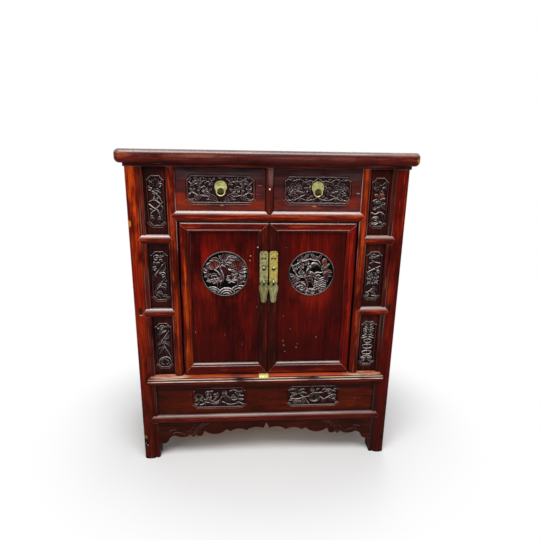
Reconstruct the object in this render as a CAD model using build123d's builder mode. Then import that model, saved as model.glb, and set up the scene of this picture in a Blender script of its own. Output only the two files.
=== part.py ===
# Kang cabinet: a lacquered softwood cupboard with two drawers over two doors.
# Millimetres. X runs to the right, Y to the back, Z up. The origin is on the floor, under the
# middle of the body. Every face of the body has its own plane, drawn on as an elevation: local
# x runs along the face, local y up, and depths are measured inwards from its foremost line.
from build123d import *
from collections import namedtuple
import os

os.makedirs("parts", exist_ok=True)

# ---------------------------------------------------------------- driving dimensions
body_width = 800.0  # over the legs
body_depth = 420.0  # over the legs
total_height = 980.0

# heights of the front, from the floor up; the door space takes what is left
leg_clear = 129.0  # floor to the underside of the base rail
base_rail_high = 26.0
base_field_high = 115.0
waist_rail_high = 30.0
drawer_rail_high = 30.0
drawer_space_high = 120.0
top_lip_high = 9.0
top_slab_high = 37.0
short_rail_high = 26.0
lower_field_high = 196.0  # side bay, above the waist rail
upper_field_high = 189.0  # side bay, below the top

# widths of the front, from the outside in
leg_size = 50.0
side_bay = 63.0
stile_wide = 25.0
divider_wide = 24.0

# fits
joint_gap = 0.15  # between pieces of the frame
slide_gap = 1.0  # each side of a drawer
door_side_gap = 3.0
door_end_gap = 3.2
door_meet_gap = 1.5
pivot_clearance = 0.06
past = 1.0  # how far a cut runs past a face, or a piece into the one that it joins

# legs: a rounded face, then a small quirk and a bead along the inner edge
leg_bead_wide = 10.0
leg_round = 4.5
leg_corner = 4.0
quirk = 2.0
bead_high = 2.0
bead_fall = 1.0  # how much lower the bead's inner edge lies than its outer
leg_tenon_size = 20.0
leg_tenon_high = 22.0

# rails and stiles
rail_deep = 34.0
rail_round = 7.0
stile_round = 6.0
lap_deep = 12.0  # thickness of the pointed shoulder that laps the post
tip_flat = 1.0
leg_point = 9.5
stile_point = 11.0
drawer_rail_point = 14.0
tenon_front = 16.0
tenon_thick = 9.0
tenon_shoulder = 4.0
tenons_apart = 6.0  # between the front and side tenons in a leg
stile_tenon_long = 8.0
drawer_rail_tenon_long = 11.0

# waist rail: a rounded ledge over two beads, standing proud of the posts
ledge_proud = 9.0
ledge_flat = 3.0
nose_high = 11.5
nose_root = 5.0  # proud of the posts, at the nose's lower edge
waist_quirk = 1.0
waist_bead_high = 10.0
waist_bead_proud = 7.5
waist_bead_root = 3.5
waist_foot_proud = 4.5
waist_foot_root = 2.0
waist_foot_end = 1.0
waist_tip_flat = 9.0
stile_tenon_wide = 15.0
stile_tenon_deep = 10.0

# panels
panel_front = 14.0
panel_thick = 10.0
panel_edge = 7.0  # how far an edge runs into its groove
groove_deep = 8.0

# carved fields: a sunk ground with a raised rim inside its edge
sunk = 3.0
rim_inset = 3.0
rim_wide = 3.0
rim_proud = 0.8
corner_cut = 13.0
corner_step = 2.5
side_margin_x = 4.0
side_margin_y = 21.0
drawer_margin_x = 26.5
drawer_margin_y = 17.0
base_carving_wide = 174.0
base_carving_high = 77.0
base_carving_from_middle = 152.0

# top
top_overhang_side = 20.0
top_overhang_front = 18.0
top_member = 90.0
top_corner = 18.0
top_edge_round = 13.0
top_board_thick = 16.0
top_tongue_thick = 6.0
top_tongue_long = 9.0
top_tongue_drop = 8.0
batten_wide = 32.0
batten_high = 20.0
batten_from_middle = 165.0
batten_notch = 2.2

# apron
apron_front_depth = 8.0
apron_thick = 12.0
apron_house = 6.0  # how far its ends run into the legs

# Half of an apron's scalloped lower edge, from the middle out to its tail: arcs of three points,
# each a distance from the middle and a drop below the rail.
front_lobes_half = 350.0
front_lobes = [
    ((0, 9), (5, 19), (9, 29.5)),
    ((9, 29.5), (38, 25), (65, 36)),
    ((65, 36), (84, 30), (119, 39)),
    ((119, 39), (125, 34), (132, 32.5)),
    ((132, 32.5), (159, 47), (202, 35)),
    ((202, 35), (206, 42), (209, 51)),
    ((209, 51), (217, 54), (229, 49.5)),
    ((229, 49.5), (234, 53), (240, 57)),
    ((240, 57), (244, 52), (250, 50)),
    ((250, 50), (271, 56.5), (297, 50.5)),
    ((297, 50.5), (309, 53), (318, 64)),
    ((318, 64), (325, 74.5), (336, 79)),
]
side_lobes_half = 160.0
side_lobes = [
    ((0, 9), (5, 19), (9, 29.5)),
    ((9, 29.5), (38, 25), (65, 38)),
    ((65, 38), (83, 36), (104, 52)),
    ((104, 52), (117, 54), (128, 64)),
    ((128, 64), (135, 74.5), (146, 79)),
]

# doors
door_front_depth = 3.0
door_thick = 24.0
hinge_stile_wide = 30.0
meeting_stile_wide = 28.0
door_top_rail_high = 27.0
door_bottom_rail_high = 36.0
door_lap = 6.0
door_edge_round = 4.0
door_meet_bevel = 2.0
door_mitre_gap = 0.3  # along the stile, between a rail's mitre and its cut
door_moulding = 9.0  # a bead between two small steps, along a member's inner edge
door_moulding_drop = 4.5
door_bead_inset = 1.5  # from the moulding's edge to the bead
door_bead_root = 2.8
door_bead_crown = 0.8
door_bead_quirk = 2.2
door_panel_recess = 10.0
door_panel_thick = 7.0
door_tenon_long = 15.0
door_tenon_shoulder = 4.0
door_tenon_spare = 1.0  # how much thicker a tenon is than the panel, on each face
pivot_radius = 6.0
pivot_long = 10.0
pivot_play = 1.5  # free depth past the end of a pivot
medallion_margin = 31.125  # between a medallion and the stiles
medallion_lip = 3.0
medallion_lip_thick = 2.0
medallion_rim = 3.2
medallion_field_sunk = 6.0
medallion_below_field_top = 126.8

# door brass
plate_wide = 24.0
plate_high = 101.0
plate_thick = 1.5
plate_corner = 7.5
plate_from_meeting = 1.5
plate_end_below_door_top = 182.8
wire_radius = 1.2
pull_loop_radius = 4.5
pull_loop_above_plate_end = 8.5
lock_loop_above_plate_end = 51.0
nail_above_plate_end = 79.0
nail_spacing = 9.0
nail_head_radius = 1.5
nail_head_thick = 0.8
nail_head_round = 0.6
nail_radius = 0.8
loop_off_plate = 0.3
shank_long = 17.0
shank_end_gap = 1.0
pull_thick = 2.4
pull_hole = 2.4
pull_eye = 5.5  # hole's centre to the top
pull_half_wide = 13.9
pull_drop = 59.0  # hole's centre to the foot
pull_foot_round = 1.5
# the pull's outline, in shares of its half width and of its drop
pull_shape = [(0.93, 0.05), (1.0, 0.19), (0.9, 0.41), (0.8, 0.58), (0.74, 0.75), (0.66, 0.89)]
eye_wide = 0.5
eye_shoulder = 0.85
foot_wide = 0.38
latch_wide = 29.0
latch_deep = 19.0
latch_thick = 1.0
latch_from_middle = -11.5
latch_back_of_nose = 0.5
latch_corner = 2.0

# drawers
drawer_front_depth = 8.0
drawer_front_thick = 18.0
drawer_low_gap = 2.0
drawer_high_gap = 2.5
drawer_back_room = 56.0  # between a shut drawer and the back rails
drawer_side_thick = 10.0
drawer_side_high = 100.0
drawer_bottom_thick = 7.0
drawer_bottom_rise = 6.0
drawer_groove = 5.0
runner_gap = 0.5
boss_radius = 18.4
escutcheon_radius = 17.3
escutcheon_thick = 1.5
escutcheon_bevel = 0.7
escutcheon_above_middle = 7.0
ring_radius = 11.9
ring_wire = 1.75
ring_loop_radius = 3.4

# inside
floor_board_thick = 14.0
floor_below_ledge = 4.0
hatch_thick = 8.0
hatch_wide = 260.0
hatch_gap = 1.0
hatch_lip = 12.0
hatch_seat_gap = 0.25
base_board_thick = 10.0
base_board_below_rail = 8.0
board_edge = 6.0
runner_lap = 14.0  # how far a runner reaches under a drawer's side
runner_outside = 24.0
runner_thick = 18.0
guide_high = 26.0

# ---------------------------------------------------------------- lines worked out from them
half_width = body_width / 2
half_depth = body_depth / 2
leg_inner = half_width - leg_size  # edge of the front opening
leg_inner_side = half_depth - leg_size  # the same on a side
stile_outer = leg_inner - side_bay
stile_inner = stile_outer - stile_wide
divider_half = divider_wide / 2

base_rail_top = leg_clear + base_rail_high
waist_low = base_rail_top + base_field_high
waist_top = waist_low + waist_rail_high
top_under = total_height - top_slab_high - top_lip_high
drawer_rail_top = top_under - drawer_space_high
drawer_rail_low = drawer_rail_top - drawer_rail_high
lower_rail_low = waist_top + lower_field_high
upper_rail_low = top_under - upper_field_high - short_rail_high

panel_back = panel_front + panel_thick
leg_face = leg_size - leg_bead_wide - quirk
leg_lap = leg_size - leg_face
leg_tenon_long = leg_size - tenon_front - tenon_thick - tenons_apart
plate_face = door_front_depth - plate_thick

front = Plane(origin=(0, -half_depth, 0), x_dir=(1, 0, 0), z_dir=(0, -1, 0))
back = Plane(origin=(0, half_depth, 0), x_dir=(-1, 0, 0), z_dir=(0, 1, 0))
left = Plane(origin=(-half_width, 0, 0), x_dir=(0, -1, 0), z_dir=(-1, 0, 0))
right = Plane(origin=(half_width, 0, 0), x_dir=(0, 1, 0), z_dir=(1, 0, 0))

# A rail lies between two posts, at x0 and x1 of its face. A joint says how far its shoulder
# laps the post's bead, how long its point is, and how long its tenon is.
Joint = namedtuple("Joint", "lap point tenon")
Rail = namedtuple("Rail", "face x0 x1 low high start end tip")
Panel = namedtuple("Panel", "face x0 x1 y0 y1")

at_leg = Joint(leg_lap, leg_point, leg_tenon_long)
at_stile = Joint(0.0, stile_point, stile_tenon_long)
in_stile = Joint(0.0, drawer_rail_point, drawer_rail_tenon_long)


# ---------------------------------------------------------------- shared features
def finish(piece, name):
    piece.part.label = name
    export_step(piece.part, f"parts/{name}.step")


def slab(face, x0, x1, y0, y1, near, far, mode=Mode.ADD):
    """A box on a face, between two depths."""
    with BuildSketch(face.offset(-far)) as outline:
        with Locations(((x0 + x1) / 2, (y0 + y1) / 2)):
            Rectangle(x1 - x0, y1 - y0)
    extrude(outline.sketch, amount=far - near, mode=mode)


def block(x0, x1, y0, y1, z0, z1, mode=Mode.ADD):
    """A box between two corners of the body's own frame."""
    with BuildSketch(Plane.XY.offset(z0)) as outline:
        with Locations(((x0 + x1) / 2, (y0 + y1) / 2)):
            Rectangle(x1 - x0, y1 - y0)
    extrude(outline.sketch, amount=z1 - z0, mode=mode)


def across(face, start):
    """The plane square to a face's length: its x runs into the cabinet and its y up."""
    return Plane(face.from_local_coords((start, 0, 0)), x_dir=-face.z_dir, z_dir=face.x_dir)


def rail_outline(rail, grow=0.0):
    """A rail's elevation, with a pointed shoulder at each end."""
    low, high = rail.low - grow, rail.high + grow
    middle = (rail.low + rail.high) / 2
    tip_low, tip_high = middle - rail.tip / 2, middle + rail.tip / 2
    left_lap = rail.x0 - rail.start.lap - grow / 2
    right_lap = rail.x1 + rail.end.lap + grow / 2
    left_tip = left_lap - rail.start.point - grow
    right_tip = right_lap + rail.end.point + grow
    return [
        (left_tip, tip_low),
        (left_lap, low),
        (right_lap, low),
        (right_tip, tip_low),
        (right_tip, tip_high),
        (right_lap, high),
        (left_lap, high),
        (left_tip, tip_high),
    ]


def tenon(rail, at_end, grow=0.0, mode=Mode.ADD):
    if at_end:
        x0, x1 = rail.x1 - past, rail.x1 + rail.end.tenon + grow
    else:
        x0, x1 = rail.x0 - rail.start.tenon - grow, rail.x0 + past
    low = rail.low + tenon_shoulder - grow
    high = rail.high - tenon_shoulder + grow
    slab(rail.face, x0, x1, low, high, tenon_front - grow, tenon_front + tenon_thick + grow, mode)


def ridge_profile(low, high):
    """Section of a plain rail: a rounded ridge over a square back."""
    middle = (low + high) / 2
    with BuildLine() as line:
        ThreePointArc((rail_round, low), (0, middle), (rail_round, high))
        Polyline((rail_round, high), (rail_deep, high), (rail_deep, low), (rail_round, low))
    make_face(line.edges())


def waist_profile(low, high):
    """Section of the waist rail: ledge with a rounded nose, then two beads."""
    nose_low = high - nose_high
    bead_high_end = nose_low - waist_quirk
    bead_low_end = bead_high_end - waist_bead_high
    foot_high_end = bead_low_end - waist_quirk
    bead_crown = (-waist_bead_proud, (bead_high_end + bead_low_end) / 2)
    foot_crown = (-waist_foot_proud, (foot_high_end + low) / 2)
    with BuildLine() as line:
        Line((rail_deep, high), (-ledge_flat, high))
        ThreePointArc((-ledge_flat, high), (-ledge_proud, high - nose_high / 2), (-nose_root, nose_low))
        Line((-nose_root, nose_low), (-waist_bead_root, bead_high_end))
        ThreePointArc((-waist_bead_root, bead_high_end), bead_crown, (-waist_bead_root, bead_low_end))
        Line((-waist_bead_root, bead_low_end), (-waist_foot_root, foot_high_end))
        ThreePointArc((-waist_foot_root, foot_high_end), foot_crown, (-waist_foot_end, low))
        Polyline((-waist_foot_end, low), (rail_deep, low), (rail_deep, high))
    make_face(line.edges())


def rail_piece(rail, profile=ridge_profile):
    """A rail: its section run from tip to tip, pointed, shouldered square behind and tenoned."""
    start = rail.x0 - rail.start.lap - rail.start.point
    end = rail.x1 + rail.end.lap + rail.end.point
    with BuildPart() as piece:
        with BuildSketch(across(rail.face, start)):
            profile(rail.low, rail.high)
        extrude(amount=end - start)
        with BuildSketch(rail.face.offset(-rail_deep)):
            Polygon(*rail_outline(rail), align=None)
        extrude(amount=rail_deep + ledge_proud, mode=Mode.INTERSECT)
        slab(rail.face, start - past, rail.x0, rail.low, rail.high, lap_deep, rail_deep, Mode.SUBTRACT)
        slab(rail.face, rail.x1, end + past, rail.low, rail.high, lap_deep, rail_deep, Mode.SUBTRACT)
        tenon(rail, at_end=False)
        tenon(rail, at_end=True)
    return piece.part


def seat_rail(rail):
    """Cuts a post for a rail's pointed shoulders and tenons."""
    with BuildSketch(rail.face.offset(-lap_deep - joint_gap)) as outline:
        Polygon(*rail_outline(rail, joint_gap), align=None)
    extrude(outline.sketch, amount=lap_deep + joint_gap + ledge_proud + past, mode=Mode.SUBTRACT)
    tenon(rail, False, joint_gap, Mode.SUBTRACT)
    tenon(rail, True, joint_gap, Mode.SUBTRACT)


def panel_body(panel):
    slab(
        panel.face,
        panel.x0 - panel_edge,
        panel.x1 + panel_edge,
        panel.y0 - panel_edge,
        panel.y1 + panel_edge,
        panel_front,
        panel_back,
    )


def groove_for(panel):
    """Cuts the groove that an edge of a panel stands in."""
    slab(
        panel.face,
        panel.x0 - groove_deep,
        panel.x1 + groove_deep,
        panel.y0 - groove_deep,
        panel.y1 + groove_deep,
        panel_front - joint_gap,
        panel_back + joint_gap,
        Mode.SUBTRACT,
    )


def carved_outline(x, y, wide, high, inset=0.0, mode=Mode.ADD):
    """A field with stepped corners, drawn in the sketch that is open."""
    half_x, half_y = wide / 2 - inset, high / 2 - inset
    cut = corner_cut - inset * (2 - 2**0.5)
    step = corner_step
    corner = [
        (half_x - cut, half_y),
        (half_x - cut, half_y - step),
        (half_x - step, half_y - cut),
        (half_x, half_y - cut),
    ]
    points = corner[:]
    points += [(px, -py) for px, py in reversed(corner)]
    points += [(-px, -py) for px, py in corner]
    points += [(-px, py) for px, py in reversed(corner)]
    Polygon(*[(x + px, y + py) for px, py in points], align=None, mode=mode)


def sink_carving(face, surface, x, y, wide, high):
    """Sinks a carved field's ground into a piece and leaves the raised rim round it."""
    floor = surface + sunk
    with BuildSketch(face.offset(-floor)) as ground:
        carved_outline(x, y, wide, high)
    extrude(ground.sketch, amount=sunk, mode=Mode.SUBTRACT)
    with BuildSketch(face.offset(-floor - past)) as rim:
        carved_outline(x, y, wide, high, rim_inset)
        carved_outline(x, y, wide, high, rim_inset + rim_wide, Mode.SUBTRACT)
    extrude(rim.sketch, amount=past + sunk + rim_proud)


# ---------------------------------------------------------------- rails and panels of the body
def leg_to_leg(face, inner, low, high, tip=tip_flat):
    return Rail(face, -inner, inner, low, high, at_leg, at_leg, tip)


base_rail = leg_to_leg(front, leg_inner, leg_clear, base_rail_top)
waist_rail = leg_to_leg(front, leg_inner, waist_low, waist_top, waist_tip_flat)
drawer_rail = Rail(
    front, -stile_inner, stile_inner, drawer_rail_low, drawer_rail_top, in_stile, in_stile, tip_flat
)


def short_rail(side, low):
    """A short rail of a side bay, between a leg and an inner stile."""
    high = low + short_rail_high
    if side < 0:
        return Rail(front, -leg_inner, -stile_outer, low, high, at_leg, at_stile, tip_flat)
    return Rail(front, stile_outer, leg_inner, low, high, at_stile, at_leg, tip_flat)


short_rails = {
    side: [short_rail(side, lower_rail_low), short_rail(side, upper_rail_low)] for side in (-1, 1)
}

side_rails = {
    face: [
        leg_to_leg(face, leg_inner_side, leg_clear, base_rail_top),
        leg_to_leg(face, leg_inner_side, waist_low, waist_top),
        leg_to_leg(face, leg_inner_side, top_under - short_rail_high, top_under),
    ]
    for face in (left, right)
}
back_rails = [
    leg_to_leg(back, leg_inner, leg_clear, base_rail_top),
    leg_to_leg(back, leg_inner, waist_low, waist_top),
    leg_to_leg(back, leg_inner, drawer_rail_low, drawer_rail_top),
    leg_to_leg(back, leg_inner, top_under - short_rail_high, top_under),
]

bay_fields = {
    "lower": (waist_top, lower_rail_low),
    "middle": (lower_rail_low + short_rail_high, upper_rail_low),
    "upper": (upper_rail_low + short_rail_high, top_under),
}
bay_panels = {}
for side_name, x0, x1 in (("left", -leg_inner, -stile_outer), ("right", stile_outer, leg_inner)):
    for level, (y0, y1) in bay_fields.items():
        bay_panels[side_name, level] = Panel(front, x0, x1, y0, y1)

base_panel = Panel(front, -leg_inner, leg_inner, base_rail_top, waist_low)
side_panels = {
    face: [
        Panel(face, -leg_inner_side, leg_inner_side, base_rail_top, waist_low),
        Panel(face, -leg_inner_side, leg_inner_side, waist_top, top_under - short_rail_high),
    ]
    for face in (left, right)
}
back_panels = [
    Panel(back, -leg_inner, leg_inner, base_rail_top, waist_low),
    Panel(back, -leg_inner, leg_inner, waist_top, drawer_rail_low),
    Panel(back, -leg_inner, leg_inner, drawer_rail_top, top_under - short_rail_high),
]
front_rails = [base_rail, waist_rail] + short_rails[-1] + short_rails[1]
front_panels = list(bay_panels.values()) + [base_panel]


# ---------------------------------------------------------------- aprons
def apron_piece(face, half_long, lobes, lobes_half):
    """An apron board under a base rail, with a tail down each leg."""
    stretch = half_long / lobes_half
    edge = [[(x * stretch, leg_clear - drop) for x, drop in arc] for arc in lobes]
    tail_x, tail_low = edge[-1][-1]
    end = half_long + apron_house
    top_edge = leg_clear + panel_edge
    with BuildPart() as piece:
        with BuildSketch(face.offset(-apron_front_depth - apron_thick)):
            with BuildLine():
                for sign in (-1, 1):
                    for arc in edge:
                        ThreePointArc(*[(sign * x, y) for x, y in arc])
                    Polyline((sign * tail_x, tail_low), (sign * end, tail_low), (sign * end, top_edge))
                Line((-end, top_edge), (end, top_edge))
            make_face()
        extrude(amount=apron_thick)
    return piece


def house_apron(face, half_long, lobes):
    """Cuts a leg or a base rail for an apron's ends and top edge."""
    tail_drop = lobes[-1][-1][1]
    slab(
        face,
        -half_long - apron_house - joint_gap,
        half_long + apron_house + joint_gap,
        leg_clear - tail_drop - joint_gap,
        leg_clear + groove_deep,
        apron_front_depth - joint_gap,
        apron_front_depth + apron_thick + joint_gap,
        Mode.SUBTRACT,
    )


finish(apron_piece(front, leg_inner, front_lobes, front_lobes_half), "apron_front")

made = [
    apron_piece(face, leg_inner_side, side_lobes, side_lobes_half).part for face in (left, right)
]
with BuildPart() as side_aprons:
    add(made)
finish(side_aprons, "side_aprons")


# ---------------------------------------------------------------- legs
def leg_piece(side_x, side_y, face_x, face_y):
    """A corner leg. face_x is the side face it stands on, and face_y the front or the back."""

    def at(u, v):
        return side_x * (half_width - u), side_y * (half_depth - v)

    bead_start = leg_face + quirk
    bead_depth = leg_round + quirk
    bead_end = bead_depth + bead_fall
    bead_middle = (bead_start + leg_size) / 2
    with BuildPart() as piece:
        with BuildSketch():
            with BuildLine():
                ThreePointArc(at(leg_corner, leg_corner), at(leg_face / 2, 0), at(leg_face, leg_round))
                Polyline(at(leg_face, leg_round), at(leg_face, bead_depth), at(bead_start, bead_depth))
                ThreePointArc(
                    at(bead_start, bead_depth),
                    at(bead_middle, bead_depth - bead_high),
                    at(leg_size, bead_end),
                )
                Polyline(at(leg_size, bead_end), at(leg_size, leg_size), at(bead_end, leg_size))
                ThreePointArc(
                    at(bead_end, leg_size),
                    at(bead_depth - bead_high, bead_middle),
                    at(bead_depth, bead_start),
                )
                Polyline(at(bead_depth, bead_start), at(bead_depth, leg_face), at(leg_round, leg_face))
                ThreePointArc(at(leg_round, leg_face), at(0, leg_face / 2), at(leg_corner, leg_corner))
            make_face()
        extrude(amount=top_under)
        with BuildSketch(Plane.XY.offset(top_under)):
            with Locations(at(leg_size / 2, leg_size / 2)):
                Rectangle(leg_tenon_size, leg_tenon_size)
        extrude(amount=leg_tenon_high)
        for rail in side_rails[face_x] + (front_rails if face_y == front else back_rails):
            seat_rail(rail)
        for panel in side_panels[face_x] + (front_panels if face_y == front else back_panels):
            groove_for(panel)
        house_apron(face_x, leg_inner_side, side_lobes)
        if face_y == front:
            house_apron(front, leg_inner, front_lobes)
    return piece


for leg_name, side_x, side_y, face_x, face_y in (
    ("leg_front_left", -1, -1, left, front),
    ("leg_front_right", 1, -1, right, front),
    ("leg_back_left", -1, 1, left, back),
    ("leg_back_right", 1, 1, right, back),
):
    finish(leg_piece(side_x, side_y, face_x, face_y), leg_name)


# ---------------------------------------------------------------- inner stiles and divider
def post_section(x0, x1):
    """Section of a stile or divider in plan: a rounded front and a square back."""
    with BuildLine() as line:
        ThreePointArc(
            (x0, stile_round - half_depth),
            ((x0 + x1) / 2, -half_depth),
            (x1, stile_round - half_depth),
        )
        Polyline(
            (x1, stile_round - half_depth),
            (x1, rail_deep - half_depth),
            (x0, rail_deep - half_depth),
            (x0, stile_round - half_depth),
        )
    make_face(line.edges())


def post_tenon(x, z0, z1, grow=0.0, mode=Mode.ADD):
    """The tenon at the end of a stile or divider, along Z."""
    half = stile_tenon_wide / 2 + grow
    slab(front, x - half, x + half, z0, z1, tenon_front - grow, tenon_front + tenon_thick + grow, mode)


stile_middle = (stile_inner + stile_outer) / 2
for stile_name, sign in (("stile_left", -1), ("stile_right", 1)):
    x0, x1 = sorted((sign * stile_inner, sign * stile_outer))
    with BuildPart() as stile:
        with BuildSketch(Plane.XY.offset(waist_top)):
            post_section(x0, x1)
        extrude(amount=top_under - waist_top)
        post_tenon(sign * stile_middle, waist_top - stile_tenon_deep, waist_top)
        post_tenon(sign * stile_middle, top_under, top_under + stile_tenon_deep)
        for rail in short_rails[sign] + [drawer_rail]:
            seat_rail(rail)
        for (panel_side, _), panel in bay_panels.items():
            if (panel_side == "left") == (sign < 0):
                groove_for(panel)
    finish(stile, stile_name)


def divider_point(grow=0.0):
    """The pointed foot of the drawer divider, which laps the drawer rail."""
    tip = drawer_rail_top - divider_half - grow
    return [
        (-divider_half - grow, top_under),
        (-divider_half - grow, drawer_rail_top),
        (-tip_flat / 2, tip),
        (tip_flat / 2, tip),
        (divider_half + grow, drawer_rail_top),
        (divider_half + grow, top_under),
    ]


with BuildPart() as drawer_divider:
    with BuildSketch(Plane.XY.offset(drawer_rail_top - divider_half)):
        post_section(-divider_half, divider_half)
    extrude(amount=top_under - drawer_rail_top + divider_half)
    with BuildSketch(front.offset(-rail_deep)):
        Polygon(*divider_point(), align=None)
    extrude(amount=rail_deep, mode=Mode.INTERSECT)
    slab(
        front,
        -divider_half,
        divider_half,
        drawer_rail_top - divider_half - past,
        drawer_rail_top,
        lap_deep,
        rail_deep,
        Mode.SUBTRACT,
    )
    post_tenon(0, drawer_rail_top - stile_tenon_deep, drawer_rail_top)
    post_tenon(0, top_under, top_under + stile_tenon_deep)
finish(drawer_divider, "drawer_divider")


# ---------------------------------------------------------------- front rails
pivot_x = stile_inner - door_side_gap - door_thick / 2
pivot_depth = door_front_depth + door_thick / 2
door_low = waist_top + door_end_gap
door_high = drawer_rail_low - door_end_gap


def pivot_hole(sign, z0, z1):
    with BuildSketch(Plane.XY.offset(z0)) as hole:
        with Locations((sign * pivot_x, pivot_depth - half_depth)):
            Circle(pivot_radius + pivot_clearance)
    extrude(hole.sketch, amount=z1 - z0, mode=Mode.SUBTRACT)


made = rail_piece(drawer_rail)
with BuildPart() as drawer_rail_part:
    add(made)
    with BuildSketch(front.offset(-lap_deep - joint_gap)):
        Polygon(*divider_point(joint_gap), align=None)
    extrude(amount=lap_deep + joint_gap + past, mode=Mode.SUBTRACT)
    mortise_low = drawer_rail_top - stile_tenon_deep - joint_gap
    post_tenon(0, mortise_low, drawer_rail_top, joint_gap, Mode.SUBTRACT)
    for sign in (-1, 1):
        pivot_hole(sign, drawer_rail_low, drawer_rail_low + pivot_long + pivot_play)
finish(drawer_rail_part, "drawer_rail")

floor_top = waist_top - floor_below_ledge
floor_low = floor_top - floor_board_thick
base_board_top = base_rail_top - base_board_below_rail
base_board_low = base_board_top - base_board_thick


def board_groove(low, high):
    """Grooves along the inner faces of the front and back rails for a board's edges."""
    for face in (front, back):
        slab(
            face,
            -leg_inner - past,
            leg_inner + past,
            low - joint_gap,
            high + joint_gap,
            rail_deep - board_edge - past,
            rail_deep + past,
            Mode.SUBTRACT,
        )


made = rail_piece(waist_rail, waist_profile)
with BuildPart() as waist_rail_part:
    add(made)
    for panel in front_panels:
        groove_for(panel)
    mortise_low = waist_top - stile_tenon_deep - joint_gap
    for sign in (-1, 1):
        post_tenon(sign * stile_middle, mortise_low, waist_top + past, joint_gap, Mode.SUBTRACT)
        pivot_hole(sign, waist_top - pivot_long - pivot_play, waist_top)
    board_groove(floor_low, floor_top)
finish(waist_rail_part, "waist_rail")

made = rail_piece(base_rail)
with BuildPart() as base_rail_part:
    add(made)
    groove_for(base_panel)
    house_apron(front, leg_inner, front_lobes)
    board_groove(base_board_low, base_board_top)
finish(base_rail_part, "base_rail_front")

for group_name, sign in (("short_rails_left", -1), ("short_rails_right", 1)):
    made = [rail_piece(rail) for rail in short_rails[sign]]
    with BuildPart() as short_group:
        add(made)
        for panel in bay_panels.values():
            groove_for(panel)
    finish(short_group, group_name)

# ---------------------------------------------------------------- side and back rails
for group_name, face in (("side_rails_left", left), ("side_rails_right", right)):
    made = [rail_piece(rail) for rail in side_rails[face]]
    with BuildPart() as side_group:
        add(made)
        for panel in side_panels[face]:
            groove_for(panel)
        house_apron(face, leg_inner_side, side_lobes)
    finish(side_group, group_name)

made = [rail_piece(rail) for rail in back_rails]
with BuildPart() as back_group:
    add(made)
    for panel in back_panels:
        groove_for(panel)
    board_groove(floor_low, floor_top)
    board_groove(base_board_low, base_board_top)
finish(back_group, "back_rails")

# ---------------------------------------------------------------- panels
for (side_name, level), panel in bay_panels.items():
    middle_x, middle_y = (panel.x0 + panel.x1) / 2, (panel.y0 + panel.y1) / 2
    with BuildPart() as bay_panel:
        panel_body(panel)
        sink_carving(
            front,
            panel_front,
            middle_x,
            middle_y,
            panel.x1 - panel.x0 - 2 * side_margin_x,
            panel.y1 - panel.y0 - 2 * side_margin_y,
        )
    finish(bay_panel, f"panel_{side_name}_{level}")

with BuildPart() as base_panel_front:
    panel_body(base_panel)
    for sign in (-1, 1):
        sink_carving(
            front,
            panel_front,
            sign * base_carving_from_middle,
            (base_panel.y0 + base_panel.y1) / 2,
            base_carving_wide,
            base_carving_high,
        )
finish(base_panel_front, "base_panel_front")

for group_name, face in (("side_panels_left", left), ("side_panels_right", right)):
    with BuildPart() as side_panel_group:
        for panel in side_panels[face]:
            panel_body(panel)
    finish(side_panel_group, group_name)

with BuildPart() as back_panel_group:
    for panel in back_panels:
        panel_body(panel)
finish(back_panel_group, "back_panels")

# ---------------------------------------------------------------- top
top_half_x = half_width + top_overhang_side
top_half_y = half_depth + top_overhang_front
opening_x = top_half_x - top_member
opening_y = top_half_y - top_member
slab_low = total_height - top_slab_high
tongue_high = total_height - top_tongue_drop
tongue_low = tongue_high - top_tongue_thick
batten_top = total_height - top_board_thick

with BuildPart() as top_blank:
    with BuildSketch(Plane.XY.offset(slab_low)):
        RectangleRounded(2 * top_half_x, 2 * top_half_y, top_corner)
    extrude(amount=top_slab_high)
    rims = top_blank.faces().filter_by(Axis.Z).edges()
    fillet(rims, top_edge_round)
    block(-half_width, half_width, -half_depth, half_depth, top_under, slab_low)
    block(-opening_x, opening_x, -opening_y, opening_y, top_under - past, total_height + past, Mode.SUBTRACT)
    block(
        -opening_x - top_tongue_long - past,
        opening_x + top_tongue_long + past,
        -opening_y - top_tongue_long - past,
        opening_y + top_tongue_long + past,
        tongue_low - joint_gap,
        tongue_high + joint_gap,
        Mode.SUBTRACT,
    )
    leg_tenon_half = leg_tenon_size / 2 + joint_gap
    for sign_x in (-1, 1):
        for sign_y in (-1, 1):
            x = sign_x * (half_width - leg_size / 2)
            y = sign_y * (half_depth - leg_size / 2)
            block(
                x - leg_tenon_half,
                x + leg_tenon_half,
                y - leg_tenon_half,
                y + leg_tenon_half,
                top_under - past,
                top_under + leg_tenon_high + joint_gap,
                Mode.SUBTRACT,
            )
    mortise_high = top_under + stile_tenon_deep + joint_gap
    for x in (-stile_middle, 0, stile_middle):
        post_tenon(x, top_under - past, mortise_high, joint_gap, Mode.SUBTRACT)
    for panel in front_panels:
        groove_for(panel)
    for x in (-batten_from_middle, batten_from_middle):
        half = batten_wide / 2 + joint_gap
        block(
            x - half,
            x + half,
            -opening_y - top_tongue_long - past,
            opening_y + top_tongue_long + past,
            batten_top - batten_high - joint_gap,
            batten_top,
            Mode.SUBTRACT,
        )


def long_rail_outline(sign, grow):
    """Plan of a long member of the top, mitred to its ends."""
    outer_x, outer_y = top_half_x + past, top_half_y + past
    inner_x, inner_y = opening_x - past, opening_y - past
    return [
        (grow - outer_x, sign * outer_y),
        (grow - inner_x, sign * inner_y),
        (inner_x - grow, sign * inner_y),
        (outer_x - grow, sign * outer_y),
    ]


with BuildPart() as top_long_rails:
    add(top_blank.part)
    with BuildSketch(Plane.XY.offset(top_under - past)):
        for sign in (-1, 1):
            Polygon(*long_rail_outline(sign, joint_gap), align=None)
    extrude(amount=total_height - top_under + 2 * past, mode=Mode.INTERSECT)
finish(top_long_rails, "top_long_rails")

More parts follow.
